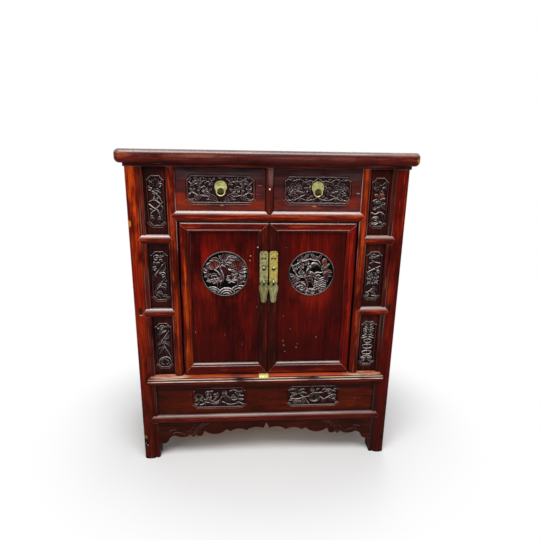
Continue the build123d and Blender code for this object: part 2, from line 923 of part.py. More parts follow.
with BuildPart() as top_end_rails:
    add(top_blank.part)
    with BuildSketch(Plane.XY.offset(top_under - past)):
        for sign in (-1, 1):
            Polygon(*long_rail_outline(sign, 0), align=None)
    extrude(amount=total_height - top_under + 2 * past, mode=Mode.SUBTRACT)
finish(top_end_rails, "top_end_rails")

with BuildPart() as top_panel:
    block(
        joint_gap - opening_x,
        opening_x - joint_gap,
        joint_gap - opening_y,
        opening_y - joint_gap,
        total_height - top_board_thick,
        total_height,
    )
    block(
        -opening_x - top_tongue_long,
        opening_x + top_tongue_long,
        -opening_y - top_tongue_long,
        opening_y + top_tongue_long,
        tongue_low,
        tongue_high,
    )
finish(top_panel, "top_panel")

with BuildPart() as top_battens:
    batten_end = opening_y + top_tongue_long
    for x in (-batten_from_middle, batten_from_middle):
        x0, x1 = x - batten_wide / 2, x + batten_wide / 2
        block(x0, x1, -batten_end, batten_end, batten_top - batten_high, batten_top)
        # notched at its ends, under the panel's tongue
        for sign in (-1, 1):
            y0, y1 = sorted((sign * opening_y, sign * (batten_end + past)))
            block(x0, x1, y0, y1, tongue_low - batten_notch, batten_top + past, Mode.SUBTRACT)
finish(top_battens, "top_battens")

# ---------------------------------------------------------------- inside boards and runners
rail_inner_x = half_width - rail_deep - joint_gap
rail_inner_y = half_depth - rail_deep


def clear_legs():
    """Cuts a board's corners round the legs."""
    for sign_x in (-1, 1):
        for sign_y in (-1, 1):
            x0, x1 = sorted((sign_x * (leg_inner - joint_gap), sign_x * half_width))
            y0, y1 = sorted((sign_y * (leg_inner_side - joint_gap), sign_y * half_depth))
            block(x0, x1, y0, y1, base_board_low - past, floor_top + past, Mode.SUBTRACT)


with BuildPart() as base_board:
    edge = rail_inner_y + board_edge
    block(-rail_inner_x, rail_inner_x, -edge, edge, base_board_low, base_board_top)
    clear_legs()
finish(base_board, "base_board")

hatch_half = hatch_wide / 2
with BuildPart() as cupboard_floor:
    edge = rail_inner_y + board_edge
    for sign in (-1, 1):
        x0, x1 = sorted((sign * (hatch_half + hatch_gap), sign * rail_inner_x))
        block(x0, x1, -edge, edge, floor_low, floor_top)
        x0, x1 = sorted((sign * (hatch_half + hatch_gap - hatch_lip), sign * rail_inner_x))
        block(x0, x1, -edge, edge, floor_low, floor_top - hatch_thick)
    clear_legs()
finish(cupboard_floor, "cupboard_floor")

with BuildPart() as floor_hatch:
    edge = rail_inner_y - hatch_gap
    block(-hatch_half, hatch_half, -edge, edge, floor_top - hatch_thick + hatch_seat_gap, floor_top)
finish(floor_hatch, "floor_hatch")

drawer_x0 = divider_half + slide_gap  # inner side of a drawer, from the middle
drawer_x1 = stile_inner - slide_gap
guide_edge = stile_inner + joint_gap
with BuildPart() as drawer_runners:
    y0, y1 = -rail_inner_y + joint_gap, rail_inner_y - joint_gap
    low = drawer_rail_top - runner_thick
    for sign in (-1, 1):
        outside = sign * (guide_edge + runner_outside)
        x0, x1 = sorted((sign * (drawer_x1 - runner_lap), outside))
        block(x0, x1, y0, y1, low, drawer_rail_top)
        x0, x1 = sorted((sign * guide_edge, outside))
        block(x0, x1, y0, y1, low, drawer_rail_top + guide_high)
    half = drawer_x0 + runner_lap
    block(-half, half, y0, y1, low, drawer_rail_top)
    block(-divider_half, divider_half, y0, y1, low, drawer_rail_top + guide_high)
finish(drawer_runners, "drawer_runners")

with BuildPart() as latch_plate:
    slab(
        front,
        latch_from_middle - latch_wide / 2,
        latch_from_middle + latch_wide / 2,
        waist_top,
        waist_top + latch_thick,
        latch_back_of_nose - ledge_flat,
        latch_back_of_nose - ledge_flat + latch_deep,
    )
    corners = latch_plate.edges().filter_by(Axis.Z)
    fillet(corners, latch_corner)
finish(latch_plate, "latch_plate")


# ---------------------------------------------------------------- doors
door_back = door_front_depth + door_thick
door_panel_near = door_front_depth + door_panel_recess
door_panel_far = door_panel_near + door_panel_thick
door_outer = stile_inner - door_side_gap
door_inner_hinge = door_outer - hinge_stile_wide
door_meet = door_meet_gap / 2
door_inner_meet = door_meet + meeting_stile_wide
field_low = door_low + door_bottom_rail_high
field_high = door_high - door_top_rail_high
door_tenon_near = door_panel_near - door_tenon_spare
door_tenon_far = door_panel_far + door_tenon_spare
medallion_x = (door_inner_hinge + door_inner_meet) / 2
medallion_z = field_high - medallion_below_field_top
medallion_radius = (door_inner_hinge - door_inner_meet) / 2 - medallion_margin
plate_low = door_high - plate_end_below_door_top
plate_x = door_meet + plate_from_meeting + plate_wide / 2
pull_z = plate_low + pull_loop_above_plate_end
lock_z = plate_low + lock_loop_above_plate_end
nail_z = plate_low + nail_above_plate_end
pull_loop_depth = plate_face - loop_off_plate - wire_radius - pull_loop_radius


def turned(points, sign):
    """Plan points of the front, from distance off the middle and depth."""
    return [(sign * x, depth - half_depth) for x, depth in points]


def stile_plan(sign, inner, section):
    """Draws a door stile's plan: its moulded edge at inner, and section for its other edge."""
    rounded = inner == door_inner_hinge
    away = 1 if rounded else -1
    face = door_front_depth
    edge = (inner, face + door_moulding_drop)
    bead_start = (inner + away * door_bead_inset, face + door_bead_root)
    bead_crown = (inner + away * door_moulding / 2, face + door_bead_crown)
    bead_end = (inner + away * (door_moulding - door_bead_inset), face + door_bead_quirk)
    with BuildLine() as line:
        Line(*turned([edge, bead_start], sign))
        ThreePointArc(*turned([bead_start, bead_crown, bead_end], sign))
        Polyline(*turned([bead_end, (inner + away * door_moulding, face), section[0]], sign))
        if rounded:
            ThreePointArc(*turned(section, sign))
        else:
            Polyline(*turned(section, sign))
        Polyline(*turned([section[-1], (inner, door_back), edge], sign))
    make_face(line.edges())


def mitre_wedge(sign, inner, outer, field, edge):
    """Elevation of the corner that a rail's mitred front takes out of a stile, with its gap."""
    up = 1 if edge > field else -1
    slope = (outer - inner) / (edge - field)
    start = field - up * door_mitre_gap
    end = edge + up * past
    return [
        (sign * inner, start),
        (sign * (inner + (end - start) * slope), end),
        (sign * inner, end),
    ]


def cut_for_door_rails(sign, inner, outer):
    """Cuts a stile for the rails' mitred fronts and tenons, and for the panel's edge."""
    for field, edge in ((field_high, door_high), (field_low, door_low)):
        with BuildSketch(front.offset(-door_front_depth - door_lap - joint_gap)) as wedge:
            Polygon(*mitre_wedge(sign, inner, outer, field, edge), align=None)
        extrude(wedge.sketch, amount=door_lap + joint_gap + past, mode=Mode.SUBTRACT)
    away = 1 if outer > inner else -1
    far = inner + away * (door_tenon_long + joint_gap)
    x0, x1 = sorted((sign * inner, sign * far))
    for low, high in ((field_high, door_high), (door_low, field_low)):
        slab(
            front,
            x0,
            x1,
            low + door_tenon_shoulder - joint_gap,
            high - door_tenon_shoulder + joint_gap,
            door_tenon_near - joint_gap,
            door_tenon_far + joint_gap,
            Mode.SUBTRACT,
        )
    door_panel_groove(sign)


def door_panel_groove(sign):
    x0, x1 = sorted((sign * (door_inner_meet - groove_deep), sign * (door_inner_hinge + groove_deep)))
    slab(
        front,
        x0,
        x1,
        field_low - groove_deep,
        field_high + groove_deep,
        door_panel_near - joint_gap,
        door_panel_far + joint_gap,
        Mode.SUBTRACT,
    )


def pivot(sign, z0, z1):
    with BuildSketch(Plane.XY.offset(z0)) as pin:
        with Locations((sign * pivot_x, pivot_depth - half_depth)):
            Circle(pivot_radius)
    extrude(pin.sketch, amount=z1 - z0)


def shank_hole(x, z, radius, depth):
    """A round hole square to the front, from the foremost line inwards."""
    with BuildSketch(front.offset(-depth)) as hole:
        with Locations((x, z)):
            Circle(radius + joint_gap)
    extrude(hole.sketch, amount=depth + past, mode=Mode.SUBTRACT)


def loop_and_shank(x, z, centre_depth, loop_radius, end_depth):
    """A split pin: a ring of wire standing across the front and a shank that runs back from it."""
    ring_plane = Plane(front.from_local_coords((x, z, -centre_depth)), x_dir=front.z_dir, z_dir=(1, 0, 0))
    with BuildPart() as pin:
        with Locations(ring_plane):
            Torus(loop_radius, wire_radius)
        with BuildSketch(front.offset(-end_depth)):
            with Locations((x, z)):
                Circle(wire_radius)
        extrude(amount=end_depth - centre_depth - loop_radius)
    return pin.part


def nail(x, z, face_depth, long):
    with BuildPart() as nail_part:
        with BuildSketch(front.offset(-face_depth - long)):
            with Locations((x, z)):
                Circle(nail_radius)
        extrude(amount=long)
        with BuildSketch(front.offset(-face_depth)):
            with Locations((x, z)):
                Circle(nail_head_radius)
        extrude(amount=nail_head_thick)
        rim = nail_part.faces().sort_by(Axis.Y)[0].edges()
        fillet(rim, nail_head_round)
    return nail_part.part


def door_rail_piece(sign, field, edge):
    """A door rail: moulded on its inner edge, mitred in front, tenoned behind."""
    up = 1 if edge > field else -1
    face = door_front_depth
    low, high = sorted((field, edge))
    start, end = sorted((sign * door_meet, sign * door_outer))
    bead_start = (face + door_bead_root, field + up * door_bead_inset)
    bead_crown = (face + door_bead_crown, field + up * door_moulding / 2)
    bead_end = (face + door_bead_quirk, field + up * (door_moulding - door_bead_inset))
    round_start = (face, edge - up * door_edge_round)
    round_end = (face + door_edge_round, edge)
    inner_corner = (face + door_moulding_drop, field)
    with BuildPart() as piece:
        with BuildSketch(across(front, start)):
            with BuildLine():
                Line(inner_corner, bead_start)
                ThreePointArc(bead_start, bead_crown, bead_end)
                Polyline(bead_end, (face, field + up * door_moulding), round_start)
                RadiusArc(round_start, round_end, up * door_edge_round)
                Polyline(round_end, (door_back, edge), (door_back, field), inner_corner)
            make_face()
        extrude(amount=end - start)
        # mitred elevation
        with BuildSketch(front.offset(-door_back)):
            Polygon(
                (sign * door_inner_meet, field),
                (sign * door_inner_hinge, field),
                (sign * door_outer, edge),
                (sign * door_meet, edge),
                align=None,
            )
        extrude(amount=door_back, mode=Mode.INTERSECT)
        # square shoulders behind the mitres, and tenons
        lap_end = door_front_depth + door_lap
        for inner, outer in ((door_inner_meet, door_meet), (door_inner_hinge, door_outer)):
            x0, x1 = sorted((sign * inner, sign * outer))
            slab(front, x0, x1, low - past, high + past, lap_end, door_back + past, Mode.SUBTRACT)
            away = 1 if outer > inner else -1
            x0, x1 = sorted((sign * (inner - away * past), sign * (inner + away * door_tenon_long)))
            tenon_low, tenon_high = low + door_tenon_shoulder, high - door_tenon_shoulder
            slab(front, x0, x1, tenon_low, tenon_high, door_tenon_near, door_tenon_far)
        # the leaf's rounded hinge edge
        with BuildSketch(Plane.XY.offset(low - past)):
            with BuildLine():
                ThreePointArc(*turned(hinge_edge, sign))
                leaf = [hinge_edge[-1], (door_meet, door_back), (door_meet, face), hinge_edge[0]]
                Polyline(*turned(leaf, sign))
            make_face()
        extrude(amount=high - low + 2 * past, mode=Mode.INTERSECT)
        door_panel_groove(sign)
    return piece.part


face = door_front_depth
hinge_edge = [(pivot_x, face), (door_outer, pivot_depth), (pivot_x, door_back)]
bevel_start, bevel_end = (door_meet + door_meet_bevel, face), (door_meet, face + door_meet_bevel)
meeting_edge = [bevel_start, bevel_end, (door_meet, door_back)]

for door_name, sign in (("door_left", -1), ("door_right", 1)):
    with BuildPart() as hinge_stile:
        with BuildSketch(Plane.XY.offset(door_low)):
            stile_plan(sign, door_inner_hinge, hinge_edge)
        extrude(amount=door_high - door_low)
        cut_for_door_rails(sign, door_inner_hinge, door_outer)
        pivot(sign, door_low - door_end_gap - pivot_long, door_low + past)
        pivot(sign, door_high - past, door_high + door_end_gap + pivot_long)
    finish(hinge_stile, f"{door_name}_hinge_stile")

    with BuildPart() as meeting_stile:
        with BuildSketch(Plane.XY.offset(door_low)):
            stile_plan(sign, door_inner_meet, meeting_edge)
        extrude(amount=door_high - door_low)
        cut_for_door_rails(sign, door_inner_meet, door_meet)
        for z in (pull_z, lock_z):
            shank_hole(sign * plate_x, z, wire_radius, plate_face + shank_long)
        for offset_x in (-nail_spacing / 2, nail_spacing / 2):
            shank_hole(sign * plate_x + offset_x, nail_z, nail_radius, plate_face + shank_long)
    finish(meeting_stile, f"{door_name}_meeting_stile")

    made = [door_rail_piece(sign, field_high, door_high), door_rail_piece(sign, field_low, door_low)]
    with BuildPart() as door_rails:
        add(made)
    finish(door_rails, f"{door_name}_rails")

    with BuildPart() as door_panel:
        x0, x1 = sorted((sign * (door_inner_meet - panel_edge), sign * (door_inner_hinge + panel_edge)))
        y0, y1 = field_low - panel_edge, field_high + panel_edge
        slab(front, x0, x1, y0, y1, door_panel_near, door_panel_far)
        with BuildSketch(front.offset(-door_panel_far)):
            with Locations((sign * medallion_x, medallion_z)):
                Circle(medallion_radius - medallion_lip)
        extrude(amount=door_panel_thick, mode=Mode.SUBTRACT)
    finish(door_panel, f"{door_name}_panel")

    with BuildPart() as medallion:
        with BuildSketch(front.offset(-door_panel_far)):
            with Locations((sign * medallion_x, medallion_z)):
                Circle(medallion_radius - medallion_lip - joint_gap)
        extrude(amount=door_panel_thick)
        with BuildSketch(front.offset(-door_panel_near)):
            with Locations((sign * medallion_x, medallion_z)):
                Circle(medallion_radius)
        extrude(amount=medallion_lip_thick)
        with BuildSketch(front.offset(-door_panel_near - medallion_field_sunk + medallion_lip_thick)):
            with Locations((sign * medallion_x, medallion_z)):
                Circle(medallion_radius - medallion_rim)
        extrude(amount=medallion_field_sunk, mode=Mode.SUBTRACT)
    finish(medallion, f"{door_name}_medallion")

    with BuildPart() as door_plate:
        x = sign * plate_x
        slab(
            front,
            x - plate_wide / 2,
            x + plate_wide / 2,
            plate_low,
            plate_low + plate_high,
            plate_face,
            door_front_depth,
        )
        corners = door_plate.edges().filter_by(Axis.Y)
        fillet(corners, plate_corner)
        for z in (pull_z, lock_z):
            shank_hole(x, z, wire_radius, door_front_depth + past)
        for offset_x in (-nail_spacing / 2, nail_spacing / 2):
            shank_hole(x + offset_x, nail_z, nail_radius, door_front_depth + past)
    finish(door_plate, f"{door_name}_plate")

    shank_end = plate_face + shank_long - shank_end_gap
    lock_depth = plate_face - loop_off_plate - wire_radius - ring_loop_radius
    made = [
        loop_and_shank(sign * plate_x, pull_z, pull_loop_depth, pull_loop_radius, shank_end),
        loop_and_shank(sign * plate_x, lock_z, lock_depth, ring_loop_radius, shank_end),
        nail(sign * plate_x - nail_spacing / 2, nail_z, plate_face, shank_long - shank_end_gap),
        nail(sign * plate_x + nail_spacing / 2, nail_z, plate_face, shank_long - shank_end_gap),
    ]
    with BuildPart() as door_fixings:
        add(made)
    finish(door_fixings, f"{door_name}_fixings")

    hole_z = pull_z - pull_loop_radius
    x = sign * plate_x
    eye_top, eye_side = hole_z + pull_eye, hole_z + pull_eye * eye_shoulder
    foot, foot_side = hole_z - pull_drop, hole_z - pull_drop + pull_foot_round
    with BuildPart() as door_pull:
        with BuildSketch(front.offset(-pull_loop_depth - pull_thick / 2)):
            with BuildLine():
                for side in (-1, 1):
                    half = side * pull_half_wide
                    outline = [(x + half * wide, hole_z - pull_drop * fall) for wide, fall in pull_shape]
                    Spline((x + half * eye_wide, eye_side), *outline, (x + half * foot_wide, foot_side))
                half = pull_half_wide
                ThreePointArc((x - half * eye_wide, eye_side), (x, eye_top), (x + half * eye_wide, eye_side))
                ThreePointArc((x - half * foot_wide, foot_side), (x, foot), (x + half * foot_wide, foot_side))
            make_face()
            with Locations((x, hole_z)):
                Circle(pull_hole, mode=Mode.SUBTRACT)
        extrude(amount=pull_thick)
    finish(door_pull, f"{door_name}_pull")

# ---------------------------------------------------------------- drawers
drawer_low = drawer_rail_top + drawer_low_gap
drawer_high = top_under - drawer_high_gap
drawer_middle_x = (drawer_x0 + drawer_x1) / 2
drawer_middle_z = (drawer_low + drawer_high) / 2
drawer_back_depth = drawer_front_depth + drawer_front_thick
escutcheon_z = drawer_middle_z + escutcheon_above_middle
escutcheon_face = drawer_front_depth - escutcheon_thick
ring_loop_depth = escutcheon_face - loop_off_plate - wire_radius - ring_loop_radius

for drawer_name, sign in (("drawer_left", -1), ("drawer_right", 1)):
    x0, x1 = sorted((sign * drawer_x0, sign * drawer_x1))
    x = sign * drawer_middle_x
    with BuildPart() as drawer_front:
        slab(front, x0, x1, drawer_low, drawer_high, drawer_front_depth, drawer_back_depth)
        sink_carving(
            front,
            drawer_front_depth,
            x,
            drawer_middle_z,
            drawer_x1 - drawer_x0 - 2 * drawer_margin_x,
            drawer_high - drawer_low - 2 * drawer_margin_y,
        )
        with BuildSketch(front.offset(-drawer_front_depth - sunk - past)):
            with Locations((x, escutcheon_z)):
                Circle(boss_radius)
        extrude(amount=past + sunk)
        shank_hole(x, escutcheon_z, wire_radius, escutcheon_face + shank_long)
    finish(drawer_front, f"{drawer_name}_front")

    side_low = drawer_rail_top + runner_gap
    side_top = side_low + drawer_side_high
    bottom_low = side_low + drawer_bottom_rise
    bottom_high = bottom_low + drawer_bottom_thick
    y0 = drawer_back_depth - half_depth + joint_gap
    y1 = half_depth - rail_deep - drawer_back_room
    inner0, inner1 = x0 + drawer_side_thick, x1 - drawer_side_thick
    with BuildPart() as drawer_box:
        block(x0, inner0, y0, y1, side_low, side_top)
        block(inner1, x1, y0, y1, side_low, side_top)
        block(
            inner0 - drawer_groove - joint_gap,
            inner1 + drawer_groove + joint_gap,
            y0 - past,
            y1 - drawer_side_thick,
            bottom_low - joint_gap,
            bottom_high + joint_gap,
            Mode.SUBTRACT,
        )
        block(
            inner0 + joint_gap,
            inner1 - joint_gap,
            y1 - drawer_side_thick,
            y1,
            bottom_low,
            side_top,
        )
        block(
            inner0 - drawer_groove,
            inner1 + drawer_groove,
            y0,
            y1 - drawer_side_thick - joint_gap,
            bottom_low,
            bottom_high,
        )
    finish(drawer_box, f"{drawer_name}_box")

    shank_end = escutcheon_face + shank_long - shank_end_gap
    made = loop_and_shank(x, escutcheon_z, ring_loop_depth, ring_loop_radius, shank_end)
    with BuildPart() as escutcheon:
        with BuildSketch(front.offset(-drawer_front_depth)):
            with Locations((x, escutcheon_z)):
                Circle(escutcheon_radius)
        extrude(amount=escutcheon_thick)
        rim = escutcheon.faces().sort_by(Axis.Y)[0].edges()
        chamfer(rim, escutcheon_bevel)
        shank_hole(x, escutcheon_z, wire_radius, drawer_front_depth + past)
        add(made)
    finish(escutcheon, f"{drawer_name}_escutcheon")

    hang = front.from_local_coords((x, escutcheon_z - ring_radius, -ring_loop_depth))
    with BuildPart() as drawer_ring:
        with Locations(Plane(hang, z_dir=front.z_dir)):
            Torus(ring_radius, ring_wire)
    finish(drawer_ring, f"{drawer_name}_ring")
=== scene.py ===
# %% [markdown]
# # A kang cabinet in old red lacquer
# The cabinet's wood and brass are already there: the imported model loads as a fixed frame, where each piece
# rides on the body that it moves with. This notebook gives the pieces their lacquer and patina, adds the
# carvings that fill the sunk fields, and sets up the studio.

# %% Load the frame
import math

import bpy
import numpy as np
from mathutils import Matrix, Vector


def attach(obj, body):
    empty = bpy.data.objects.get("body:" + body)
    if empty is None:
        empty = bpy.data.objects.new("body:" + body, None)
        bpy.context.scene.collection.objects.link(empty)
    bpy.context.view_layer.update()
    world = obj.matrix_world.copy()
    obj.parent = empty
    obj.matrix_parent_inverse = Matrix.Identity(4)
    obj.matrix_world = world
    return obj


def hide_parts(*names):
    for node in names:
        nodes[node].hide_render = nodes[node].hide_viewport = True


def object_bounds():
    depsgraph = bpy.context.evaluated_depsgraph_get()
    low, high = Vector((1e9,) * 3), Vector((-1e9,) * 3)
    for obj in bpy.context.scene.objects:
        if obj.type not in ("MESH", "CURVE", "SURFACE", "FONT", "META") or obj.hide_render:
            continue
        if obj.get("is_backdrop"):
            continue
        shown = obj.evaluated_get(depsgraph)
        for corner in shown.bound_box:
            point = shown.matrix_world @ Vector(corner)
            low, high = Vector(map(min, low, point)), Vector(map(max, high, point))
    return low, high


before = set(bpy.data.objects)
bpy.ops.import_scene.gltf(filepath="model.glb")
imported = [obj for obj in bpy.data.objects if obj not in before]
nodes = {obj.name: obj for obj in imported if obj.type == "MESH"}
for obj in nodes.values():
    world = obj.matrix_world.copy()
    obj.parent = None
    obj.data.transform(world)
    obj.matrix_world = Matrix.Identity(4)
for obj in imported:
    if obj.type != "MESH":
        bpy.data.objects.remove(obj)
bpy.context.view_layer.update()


def shown(numbers):
    """A point or a colour, rounded to be printed."""
    return tuple(round(v, 4) for v in numbers)


# %% [markdown]
# ## The camera
# A low cupboard is looked at from standing height, a little left of its middle, with a wide lens, so that
# the legs draw in towards the floor. The three turns are yaw, pitch and roll; writing the camera's own axes
# as the columns of a matrix keeps them in that order, which Euler angles would make harder to read.

# %% Camera
IMAGE_SIDE = 540  # pixels
FOCAL = 415.2  # pixels
SENSOR = 36.0  # mm
CAMERA_PLACE = Vector((-0.0735, -1.3861, 0.9639))
YAW, PITCH, ROLL = 0.0656, 0.2662, 0.0149  # radians

forward = Vector((math.sin(YAW) * math.cos(PITCH), math.cos(YAW) * math.cos(PITCH), -math.sin(PITCH)))
level_right = Vector((math.cos(YAW), -math.sin(YAW), 0))
level_up = level_right.cross(forward)
camera_right = math.cos(ROLL) * level_right + math.sin(ROLL) * level_up
camera_up = math.cos(ROLL) * level_up - math.sin(ROLL) * level_right

camera_data = bpy.data.cameras.new("camera")
camera_data.sensor_width = SENSOR
camera_data.lens = FOCAL / IMAGE_SIDE * SENSOR
camera = bpy.data.objects.new("camera", camera_data)
bpy.context.collection.objects.link(camera)
turn = Matrix((camera_right, camera_up, -forward)).transposed()
camera.matrix_world = Matrix.Translation(CAMERA_PLACE) @ turn.to_4x4()
bpy.context.scene.camera = camera
bpy.context.scene.view_settings.view_transform = "Standard"
print("lens", round(camera_data.lens, 2), "mm")

# %% [markdown]
# ## Shader sums
# Every finish here is a sum of patterns: grain, wear, dirt, dust. A small class stands for a socket, so
# that the sums are written as Python sums, and one method makes every kind of node. The rest of the
# notebook then reads like a recipe.

# %% A socket that can be added and multiplied
def math_node(operation, kind="Math", swapped=False):
    """A method that adds a node for a wire and one more: a number, a vector or another wire."""
    def joined(self, other):
        first, second = (other, self) if swapped else (self, other)
        return self.node(kind, {"operation": operation}, {0: first, 1: second})

    return joined


class Wire:
    """A socket in a node tree."""

    __add__, __radd__ = math_node("ADD"), math_node("ADD", swapped=True)
    __sub__, __rsub__ = math_node("SUBTRACT"), math_node("SUBTRACT", swapped=True)
    __mul__, __rmul__ = math_node("MULTIPLY"), math_node("MULTIPLY", swapped=True)
    most = math_node("MAXIMUM")
    stretch = math_node("MULTIPLY", "VectorMath")
    seen_from = math_node("SUBTRACT", "VectorMath")

    def __init__(self, tree, socket=None):
        self.tree, self.socket = tree, socket

    def node(self, kind, settings=None, sockets=None, output=0):
        """Adds a node: its settings first, then the values or wires of its sockets."""
        made = self.tree.nodes.new("ShaderNode" + kind)
        for key, value in (settings or {}).items():
            setattr(made, key, value)
        for key, value in (sockets or {}).items():
            if isinstance(value, Wire):
                self.tree.links.new(value.socket, made.inputs[key])
            else:
                made.inputs[key].default_value = value
        return Wire(self.tree, made.outputs[output])

    def between(self, low, high):
        """0 below low, 1 above high, and smooth in between. Works downwards too."""
        limits = {"Value": self, "From Min": low, "From Max": high}
        return self.node("MapRange", {"interpolation_type": "SMOOTHSTEP"}, limits)

    def mix(self, first, second):
        """The first colour where this wire is 0 and the second where it is 1."""
        return self.node("Mix", {"data_type": "RGBA"}, {0: self, 6: first, 7: second}, output=2)

    def part(self, axis):
        return self.node("SeparateXYZ", None, {0: self}, output=axis)

    def length(self):
        return self.node("VectorMath", {"operation": "LENGTH"}, {0: self}, output="Value")

    def noise(self, scale, detail, roughness):
        settings = {"Vector": self, "Scale": scale, "Detail": detail, "Roughness": roughness}
        return self.node("TexNoise", None, settings)


def paint(red, green, blue):
    """A colour as it looks on a screen, 0 to 255, made linear."""
    def linear(level):
        level /= 255
        return level / 12.92 if level <= 0.04045 else ((level + 0.055) / 1.055) ** 2.4

    return (linear(red), linear(green), linear(blue), 1.0)


def new_finish(name):
    """A material with an empty Principled shader, as (wire to build from, material, shader)."""
    material = bpy.data.materials.new(name)
    material.use_nodes = True
    shader = material.node_tree.nodes["Principled BSDF"]
    return Wire(material.node_tree), material, shader


def feed(shader, socket, wire):
    shader.id_data.links.new(wire.socket, shader.inputs[socket])


print("a red of 120, 28, 14 is", shown(paint(120, 28, 14)[:3]))

# %% [markdown]
# ## Old red lacquer
# On the real cabinet, softwood was stained and then lacquered a deep red-brown. A century of hands has
# rubbed the crowns of its rounded members back to orange, dirt has settled in every quirk, and a pale film
# lies on what faces up. One recipe serves all the wood: long grain, patches of wear that follow it, worn
# edges, corners painted dark as dirt and shade, and dust, with a pale colour on what faces up that is part
# dust and part painted highlight. The grain runs along the member, so the recipe is told which way that is.
# Corners and edges are found by the Ambient Occlusion and Bevel nodes, because the pieces' meshes are plain
# and carry no paint of their own. The lacquer itself reflects little where it faces the room, and a waxy
# coat on the rails' upper slopes shines more.

# %% Colours and helpers for all finishes
# The darkest colour: real soot and dirt, and painted shade in corners, grooves, gaps and hollows.
SOOT_AND_SHADE = paint(10, 5, 5)
# A pale grey for dust and chips, and for the highlights painted on what faces up and along beads.
DUST_AND_HIGHLIGHT = paint(196, 178, 168)
BARE_WOOD = paint(214, 138, 62)
# The pale painted on a rim's crest as a highlight where it faces up.
RIM = paint(192, 176, 170)
SHEEN = 0.04  # of the lacquer itself, under its coat
SOFT_EDGE = 0.35  # of a mark, as a share of its reach
STREAKY = 0.0125  # a mark that reaches further than this follows the wood's unevenness
COAT_IOR = {"wood": 1.8, "carving": 1.7}
WORN_EDGE = {"wood": 0.0024, "brass": 0.0012}  # how far wear reaches from an edge
CORNER = {"wood": 0.018, "carving": 0.005, "brass": 0.004}  # how far painted shade and dirt reach from a corner


def stretches(along, across):
    """How closely a pattern is packed along each axis, by the way that the grain runs."""
    return {
        axis: tuple(along if k == n else across for k in range(3)) for n, axis in enumerate("xyz")
    }


ALONG, PATCHES = stretches(8.0, 230.0), stretches(7.6, 38.0)


def round_mark(place, centre, reach):
    """1 inside a soft-edged oval round centre, with reach along each axis."""
    away = place.seen_from(centre).stretch(tuple(1 / r for r in reach)).length()
    return away.between(1 + SOFT_EDGE, 1 - SOFT_EDGE)


def worn_edges(wire, radius):
    """The normal rounded off within radius of an edge, and how far it bends there."""
    true_normal = wire.node("NewGeometry", output="Normal")
    rounded = wire.node("Bevel", {"samples": 4}, {"Radius": radius}, output="Normal")
    both = {0: true_normal, 1: rounded}
    return rounded, 1 - wire.node("VectorMath", {"operation": "DOT_PRODUCT"}, both, output="Value")


def nearby(wire, distance):
    """How open a point is to what lies within distance: 1 in the open, 0 in a deep corner."""
    return wire.node("AmbientOcclusion", {"samples": 6}, {"Distance": distance}, output="AO")


def bump(wire, strength, distance, height):
    return wire.node("Bump", None, {"Strength": strength, "Distance": distance, "Height": height})


print("grain", ALONG["x"], "and patches", PATCHES["x"], "to the metre along x")

